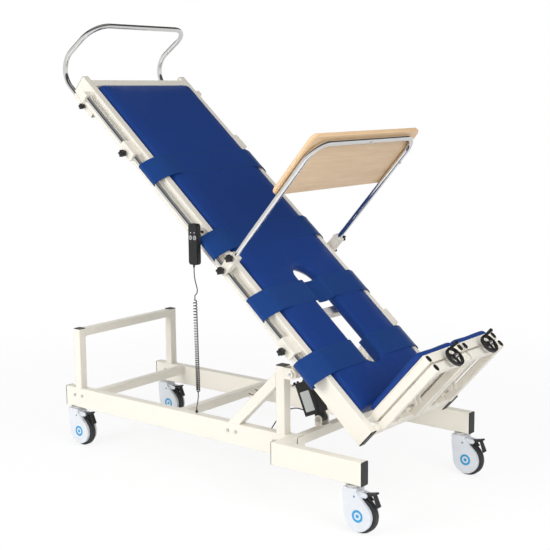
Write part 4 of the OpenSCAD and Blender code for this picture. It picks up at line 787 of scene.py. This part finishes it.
SHARP_FROM = math.radians(35)


def turned(name, profile, place, axis, body, material, steps=40):
    """Piece turned on a lathe: profile holds (distance along the axis, radius) from end to end."""
    axis = Vector(axis).normalized()
    first = Vector((0, 0, 1)) if abs(axis.z) < 0.9 else Vector((1, 0, 0))
    a = axis.cross(first).normalized()
    b = axis.cross(a)
    verts = []
    for h, r in profile:
        for k in range(steps):
            t = 2 * math.pi * k / steps
            verts.append(place + axis * h + (a * math.cos(t) + b * math.sin(t)) * r)
    faces = ring_faces(len(profile), steps)
    if profile[0] != profile[-1]:
        faces += end_faces(len(profile), steps)
    obj = new_piece(name, verts, faces, body, material)
    obj.data.set_sharp_from_angle(angle=SHARP_FROM)


def thin_ring(inner, outer, thick):
    edge = 0.0004
    return [(0, inner), (0, outer), (thick - edge, outer), (thick, outer - edge), (thick, inner + edge),
            (thick - edge, inner), (0, inner)]


CASTERS = {"rear_right": (-1.365, -0.322), "rear_left": (-1.365, 0.322),
           "front_right": (0.378, -0.435), "front_left": (0.378, 0.435)}


HOUSING_HALF, WHEEL_BACK, AXLE_HEIGHT, RIVET_HEIGHT = 0.031, 0.039, 0.075, 0.153
HUB = ((0, 0.0001), (0, 0.0078), (0.0006, 0.0074), (0.0010, 0.004), (0.0011, 0.0001))
RIVET_HEAD = ((0, 0.0001), (0, 0.0062), (0.0005, 0.0058), (0.0008, 0.0040), (0.0009, 0.0001))


def fit_caster_marks():
    for name, (x, y) in CASTERS.items():
        body = "caster_" + name
        for side in (-1, 1):
            out = Vector((0, side, 0))
            face = on_base(x + WHEEL_BACK, y + side * HOUSING_HALF, AXLE_HEIGHT)
            ring = thin_ring(inner=0.0160, outer=0.0258, thick=0.0011)
            turned(f"{body}_ring_{side + 1}", ring, face - out * 0.0007, out, body, RING_BLUE)
            turned(f"{body}_hub_{side + 1}", HUB, face, out, body, RING_BLUE)
            spot = on_base(x + WHEEL_BACK * 0.6, y + side * HOUSING_HALF, RIVET_HEIGHT)
            turned(f"{body}_rivet_{side + 1}", RIVET_HEAD, spot - out * 0.0006, out, body, RIVET)


fit_caster_marks()


def rounded_loop(half_w, half_h, corner):
    """Corner points of a rectangle with rounded corners."""
    steps, pts = 5, []
    for qx, qy, start in ((1, 1, 0), (-1, 1, 90), (-1, -1, 180), (1, -1, 270)):
        for k in range(steps + 1):
            a = math.radians(start + 90 * k / steps)
            pts.append((qx * (half_w - corner) + corner * math.cos(a), qy * (half_h - corner) + corner * math.sin(a)))
    return pts


def plate(name, place, across, upward, half_w, half_h, corner, thick, body, slot, material):
    """Thin plate with rounded corners and a broken top edge; its back lies at place."""
    across, upward = Vector(across).normalized(), Vector(upward).normalized()
    out = across.cross(upward)
    edge = thick * 0.35
    levels = [(0, 0), (thick - edge, 0), (thick, edge)]
    loops = [[(h, p) for p in rounded_loop(half_w - inset, half_h - inset, corner - inset)] for h, inset in levels]
    verts = [Vector(place) + across * p[0] + upward * p[1] + out * h for loop in loops for h, p in loop]
    n = len(loops[0])
    obj = new_piece(name, verts, end_faces(len(loops), n) + ring_faces(len(loops), n), body, material)
    obj.data.set_sharp_from_angle(angle=SHARP_FROM)
    return obj


ACTUATOR_FOOT = on_base(0.0, -0.125, 0.322)
ACTUATOR_LEAN = math.radians(23.1)
ACTUATOR_UP = Vector((-math.sin(ACTUATOR_LEAN), 0, math.cos(ACTUATOR_LEAN)))
ACTUATOR_OUT = Vector((math.cos(ACTUATOR_LEAN), 0, math.sin(ACTUATOR_LEAN)))


def on_actuator(out, y, up):
    """Point by its distance out of the actuator's axis, to the side and along the axis from its lower bolt."""
    return ACTUATOR_FOOT + ACTUATOR_OUT * out + ACROSS * y + ACTUATOR_UP * up


def fit_motor_plate():
    plate("motor_plate", on_actuator(-0.019, -0.0351, 0.089), ACTUATOR_OUT, ACTUATOR_UP,
          half_w=0.0255, half_h=0.0455, corner=0.004, thick=0.0008, body="actuator", slot=None, material=LABEL)


def fit_motor_lid():
    plate("motor_lid", on_actuator(-0.050, 0, 0.171), ACTUATOR_OUT, ACROSS, half_w=0.034, half_h=0.026,
          corner=0.006, thick=0.006, body="actuator", slot="black_plastic", material=BLACK)
    for side, tag in ((-1, "a"), (1, "b")):
        plate("motor_socket_" + tag, on_actuator(-0.076, side * 0.012, 0.177), ACTUATOR_OUT, ACROSS, half_w=0.006,
              half_h=0.006, corner=0.0058, thick=0.008, body="actuator", slot="black_plastic", material=BLACK)


fit_motor_plate()
fit_motor_lid()


BED_RAIL_Y, BED_RAIL_N, BED_RAIL_FOOT, BED_RAIL_HEAD = 0.3305, 0.091, 0.420, -1.737
RAIL_PLUG_W, RAIL_PLUG_H = 0.0192, 0.0447
FRAME_TUBE_U, PEDAL_TUBE_U, TUBE_TOP, CAP_TOP = 0.414, 0.369, 0.507, 0.5098
TUBE_SIDES = (("outer", 0.267), ("inner", 0.021))
OVAL_PLUG = {"half_w": 0.0150, "half_h": 0.0105, "corner": 0.0104, "thick": 0.0036,
             "slot": "black_plastic", "material": BLACK}


def fit_end_plugs():
    """Plugs of the bed's side rails, and the caps and oval plugs on the ends of the footrest's tubes."""
    for side, tag in ((-1, "right"), (1, "left")):
        y = side * BED_RAIL_Y
        foot = plate("rail_plug_foot_" + tag, on_bed(BED_RAIL_FOOT, y, BED_RAIL_N), ACROSS, ABOVE, RAIL_PLUG_W,
                     RAIL_PLUG_H, corner=0.004, thick=0.004, body="bed", slot="black_plastic", material=BLACK)
        plate("rail_plug_head_" + tag, on_bed(BED_RAIL_HEAD, y, BED_RAIL_N), ABOVE, ACROSS, RAIL_PLUG_H,
              RAIL_PLUG_W, corner=0.004, thick=0.003, body="bed", slot="black_plastic", material=BLACK)
        if side < 0:
            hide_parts("bed_end_caps")
        for spot, reach in TUBE_SIDES:
            y = side * reach
            plate(f"frame_cap_{spot}_{tag}", on_bed(FRAME_TUBE_U, y, TUBE_TOP), ALONG, ACROSS, half_w=0.0178,
                  half_h=0.0128, corner=0.005, thick=0.003, body="bed", slot="cream_paint", material=CREAM)
            if spot == "outer":
                plate(f"frame_plug_{tag}", on_bed(FRAME_TUBE_U, y, CAP_TOP), ALONG, ACROSS, body="bed", **OVAL_PLUG)
            plate(f"pedal_plug_{spot}_{tag}", on_bed(PEDAL_TUBE_U, y, CAP_TOP), ALONG, ACROSS,
                  body="foot_pedal_" + tag, **OVAL_PLUG)


fit_end_plugs()


PIVOT_BOLT_Y = 0.353
PIVOT_CAP = ((-0.0078, 0.0153), (0.0006, 0.0153), (0.0014, 0.0146), (0.0014, 0.0001))
PIVOT_SCREW = ((0.0008, 0.0062), (0.0030, 0.0060), (0.0040, 0.0050), (0.0040, 0.0001))
FOOT_SCREW = ((-0.0008, 0.0070), (0.0012, 0.0068), (0.0030, 0.0048), (0.0036, 0.0022), (0.0036, 0.0001))
FOOT_SCREW_X, FOOT_SCREW_Y, FOOT_SCREW_Z = (-1.352, -1.316), 0.299, 0.256
WIRE_CLIP = ((-621.5, 174, 287), (-612, 177, 283), (-600, 168, 275), (-594, 152, 270), (-598, 136, 270),
             (-608, 127, 274), (-621.5, 125, 278))
WIRE_R = 0.0022


def fit_frame_details():
    """Caps over the pivot bolts, screws at the uprights' feet, the rear rails' end covers and a wire clip."""
    for side, tag in ((-1, "right"), (1, "left")):
        out = (0, side, 0)
        pin = on_base(0, side * PIVOT_BOLT_Y, PIVOT.z)
        turned("pivot_cap_" + tag, PIVOT_CAP, pin, out, "base", CREAM)
        turned("pivot_screw_" + tag, PIVOT_SCREW, pin, out, "base", STEEL)
        for k, x in enumerate(FOOT_SCREW_X):
            turned(f"foot_screw_{tag}_{k}", FOOT_SCREW, on_base(x, side * FOOT_SCREW_Y, FOOT_SCREW_Z), (0, -side, 0),
                   "base", STEEL)
        plate("rail_end_cover_" + tag, on_base(0.0339, side * 0.322, 0.244), ACROSS, (0, 0, 1), half_w=0.0232,
              half_h=0.0492, corner=0.003, thick=0.0024, body="base", slot="cream_paint", material=CREAM)
    verts, faces = tube(base_route(WIRE_CLIP, 5), WIRE_R, 10)
    new_piece("wire_clip", verts, faces, "base", BLACK)


fit_frame_details()


SCREW_FOOT, SCREW_TOP, SCREW_Y = Vector((0.386, 0.160)), Vector((0.409, 0.541)), 0.144
HUB_NUT = ((0, 0.0001), (0, 0.0068), (0.004, 0.0068), (0.0062, 0.0058), (0.0078, 0.0038), (0.0084, 0.0001))


def fit_handwheel_hubs():
    run = (SCREW_TOP - SCREW_FOOT).normalized()
    axis = ALONG * run.x + ABOVE * run.y
    washer = thin_ring(inner=0.0055, outer=0.0112, thick=0.0016)
    for name, y in (("right", -SCREW_Y), ("left", SCREW_Y)):
        body = "pedal_screw_" + name
        top = on_bed(SCREW_TOP.x, y, SCREW_TOP.y)
        turned(f"hub_washer_{name}", washer, top + axis * 0.0019, axis, body, CHROME)
        turned(f"hub_nut_{name}", HUB_NUT, top + axis * 0.0033, axis, body, CHROME, steps=24)


fit_handwheel_hubs()


HANDSET_X, HANDSET_FACE = -0.470, -(GRIP_Y + GRIP_R + 0.006 + 0.026)
BUTTON_Z, BUTTON_APART, ARROW_Z, ARROW_APART = 1.1133, 0.012, 1.135, 0.0105
ARROW_W, ARROW_BACK, ARROW_TIP, ARROW_T = 0.0030, 0.0022, 0.0030, 0.0006


def fit_handset_marks():
    bezel = thin_ring(inner=0.0074, outer=0.0092, thick=0.0009)
    for k, dx in enumerate((-BUTTON_APART, BUTTON_APART)):
        turned(f"button_bezel_{k}", bezel, on_base(HANDSET_X + dx, HANDSET_FACE + 0.0003, BUTTON_Z), (0, -1, 0),
               "handset", MARK, steps=32)
    for k, (dx, way) in enumerate(((-ARROW_APART, 1), (ARROW_APART, -1))):
        mid = on_base(HANDSET_X + dx, HANDSET_FACE - 0.0002, ARROW_Z)
        loop = [Vector((ARROW_W, 0, -ARROW_BACK * way)), Vector((-ARROW_W, 0, -ARROW_BACK * way)),
                Vector((0, 0, ARROW_TIP * way))]
        verts = [mid + p for p in loop] + [mid + p + Vector((0, ARROW_T, 0)) for p in loop]
        faces = [(0, 1, 2), (5, 4, 3), (0, 3, 4, 1), (1, 4, 5, 2), (2, 5, 3, 0)]
        new_piece(f"handset_arrow_{k}", verts, faces, "handset", MARK, smooth=False)


fit_handset_marks()


BEAD_R, BEAD_STEP = 0.0024, 0.004


def weld(name, corners):
    """Rippled weld bead on the base that runs through the corners; it is half sunk in the metal."""
    path = []
    pts = [Vector(c) for c in corners]
    for a, b in zip(pts, pts[1:]):
        n = max(1, int((b - a).length / BEAD_STEP))
        path += [a + (b - a) * (k / n) for k in range(n)]
    path.append(pts[-1])
    seed = sum(ord(c) for c in name)
    jitter = [0.00025 * noise.noise(Vector((i * 0.7, seed, 0))) for i in range(len(path))]
    path = [p + Vector((0, 0, j)) for p, j in zip(path, jitter)]
    count = len(path) - 1
    verts, faces = tube(path, lambda t: BEAD_R * (0.92 + 0.16 * (round(t * count) % 2)), 7)
    new_piece(name, verts, faces, "base", CREAM)


def square_loop(x0, x1, y0, y1, z):
    return [on_base(x0, y0, z), on_base(x1, y0, z), on_base(x1, y1, z), on_base(x0, y1, z), on_base(x0, y0, z)]


RAIL_TOP, RAIL_OUTSIDE, RAIL_INSIDE, UPRIGHT_INSIDE = 0.2932, 0.3448, 0.300, 0.303
POST_X, UPRIGHT_X, BAR_Z = (-0.082, -0.037), (-1.349, -1.307), (0.5895, 0.550)
CROSS_EDGES, CROSS_Z = (-1.251, -1.211, -0.681, -0.641), (0.2535, 0.2925)


def run_weld_beads():
    for side, tag in ((-1, "right"), (1, "left")):
        near, post, upright = side * RAIL_OUTSIDE, side * RAIL_INSIDE, side * UPRIGHT_INSIDE
        weld("bead_post_" + tag, square_loop(*POST_X, near, post, RAIL_TOP))
        weld("bead_upright_" + tag, square_loop(*UPRIGHT_X, near, upright, RAIL_TOP))
        for k, x in enumerate(CROSS_EDGES):
            weld(f"bead_cross_{k}_{tag}", [on_base(x, post, z) for z in CROSS_Z])
        weld("bead_bar_" + tag, [on_base(UPRIGHT_X[1], upright, z) for z in BAR_Z])


run_weld_beads()


# ---------------------------------------------------------------- studio

# Place on the ramp and grey of what shiny pieces mirror, from the floor (0) up to the ceiling (1)
MIRRORED_GREYS = ((0.44, 0.85), (0.60, 0.90), (0.66, 0.10), (0.84, 0.06), (0.90, 0.22))
FLOOR_HALF, FADE_FROM, FADE_TO, FLOOR_WHITENING = 9, 1.5, 3.6, 0.84


def mixed(k, share, first, second):
    """Shader between two others."""
    node = k.add("ShaderNodeMixShader", {0: share})
    k.wire(first.outputs[0], node.inputs[1])
    k.wire(second.outputs[0], node.inputs[2])
    return node


def set_world(scene):
    """White for the camera, an even light for what is matt, and a studio's light and dark bands for what mirrors."""
    world = bpy.data.worlds.new("studio_world")
    scene.world = world
    world.use_nodes = True
    world.node_tree.nodes.clear()
    k = Nodes(world.node_tree)
    path = k.add("ShaderNodeLightPath")
    seen = k.maths("MAXIMUM", path.outputs["Is Camera Ray"], path.outputs["Is Transmission Ray"])
    light = k.add("ShaderNodeBackground", {"Color": (0.99, 0.99, 1.0, 1), "Strength": 0.53})
    white = k.add("ShaderNodeBackground", {"Color": (1, 1, 1, 1), "Strength": 1.0})
    way = k.add("ShaderNodeTexCoord").outputs["Generated"]
    height = k.add("ShaderNodeSeparateXYZ", {"Vector": way}).outputs["Z"]
    bands = k.add("ShaderNodeValToRGB", {"Fac": k.maths("ADD", k.maths("MULTIPLY", height, 0.5), 0.5)})
    ramp_points = bands.color_ramp.elements
    ramp_points[0].position, ramp_points[0].color = 0.0, (0.75, 0.75, 0.75, 1)
    ramp_points[1].position, ramp_points[1].color = 1.0, (0.30, 0.30, 0.31, 1)
    for at, tone in MIRRORED_GREYS:
        ramp_points.new(at).color = (tone, tone, tone, 1)
    glossy = k.add("ShaderNodeBackground", {"Color": bands.outputs[0], "Strength": 0.9})
    lit = mixed(k, path.outputs["Is Glossy Ray"], light, glossy)
    out = k.add("ShaderNodeOutputWorld")
    k.wire(mixed(k, seen, lit, white).outputs[0], out.inputs[0])


def lay_floor(scene):
    """White floor that takes the shadow and fades out at a distance."""
    mesh = bpy.data.meshes.new("studio_floor")
    h = FLOOR_HALF
    mesh.from_pydata([(-h, -h, 0), (h, -h, 0), (h, h, 0), (-h, h, 0)], [], [(0, 1, 2, 3)])
    floor = bpy.data.objects.new("studio_floor", mesh)
    scene.collection.objects.link(floor)
    material = bpy.data.materials.new("studio_floor")
    material.use_nodes = True
    material.node_tree.nodes.clear()
    k = Nodes(material.node_tree)
    far = k.add("ShaderNodeVectorMath", {0: k.add("ShaderNodeTexCoord").outputs["Object"]}, operation="LENGTH")
    fade = k.add("ShaderNodeMapRange", {"Value": far.outputs["Value"], "From Min": FADE_FROM, "From Max": FADE_TO})
    matt = k.add("ShaderNodeBsdfDiffuse", {"Color": (0.97, 0.97, 0.97, 1)})
    glow = k.add("ShaderNodeEmission", {"Color": (1, 1, 1, 1), "Strength": 1.0})
    whiter = k.maths("MULTIPLY", k.add("ShaderNodeLightPath").outputs["Is Camera Ray"], FLOOR_WHITENING)
    clear = k.add("ShaderNodeBsdfTransparent")
    out = k.add("ShaderNodeOutputMaterial")
    k.wire(mixed(k, fade.outputs[0], mixed(k, whiter, matt, glow), clear).outputs[0], out.inputs[0])
    mesh.materials.append(material)


def lamp(scene, name, place, aim, size, watts, mirrored=True):
    data = bpy.data.lights.new(name, "AREA")
    data.shape = "DISK"
    data.size = size
    data.energy = watts
    obj = bpy.data.objects.new(name, data)
    scene.collection.objects.link(obj)
    obj.location = place
    obj.visible_glossy = mirrored
    obj.rotation_mode = "QUATERNION"
    obj.rotation_quaternion = (Vector(aim) - Vector(place)).to_track_quat("-Z", "Y")


def set_studio():
    scene = bpy.context.scene
    scene.view_settings.view_transform = "Standard"
    set_world(scene)
    lay_floor(scene)
    lamp(scene, "key_lamp", (-1.8, -4.6, 2.3), aim=(0, 0, 0.7), size=3.0, watts=142, mirrored=False)
    lamp(scene, "top_lamp", (2.9, -1.0, 2.5), aim=(0.5, 0, 0.4), size=2.5, watts=58, mirrored=False)
    lamp(scene, "rim_lamp", (-3.5, 2.5, 3.2), aim=(0, 0, 0.9), size=2.5, watts=16)


set_studio()
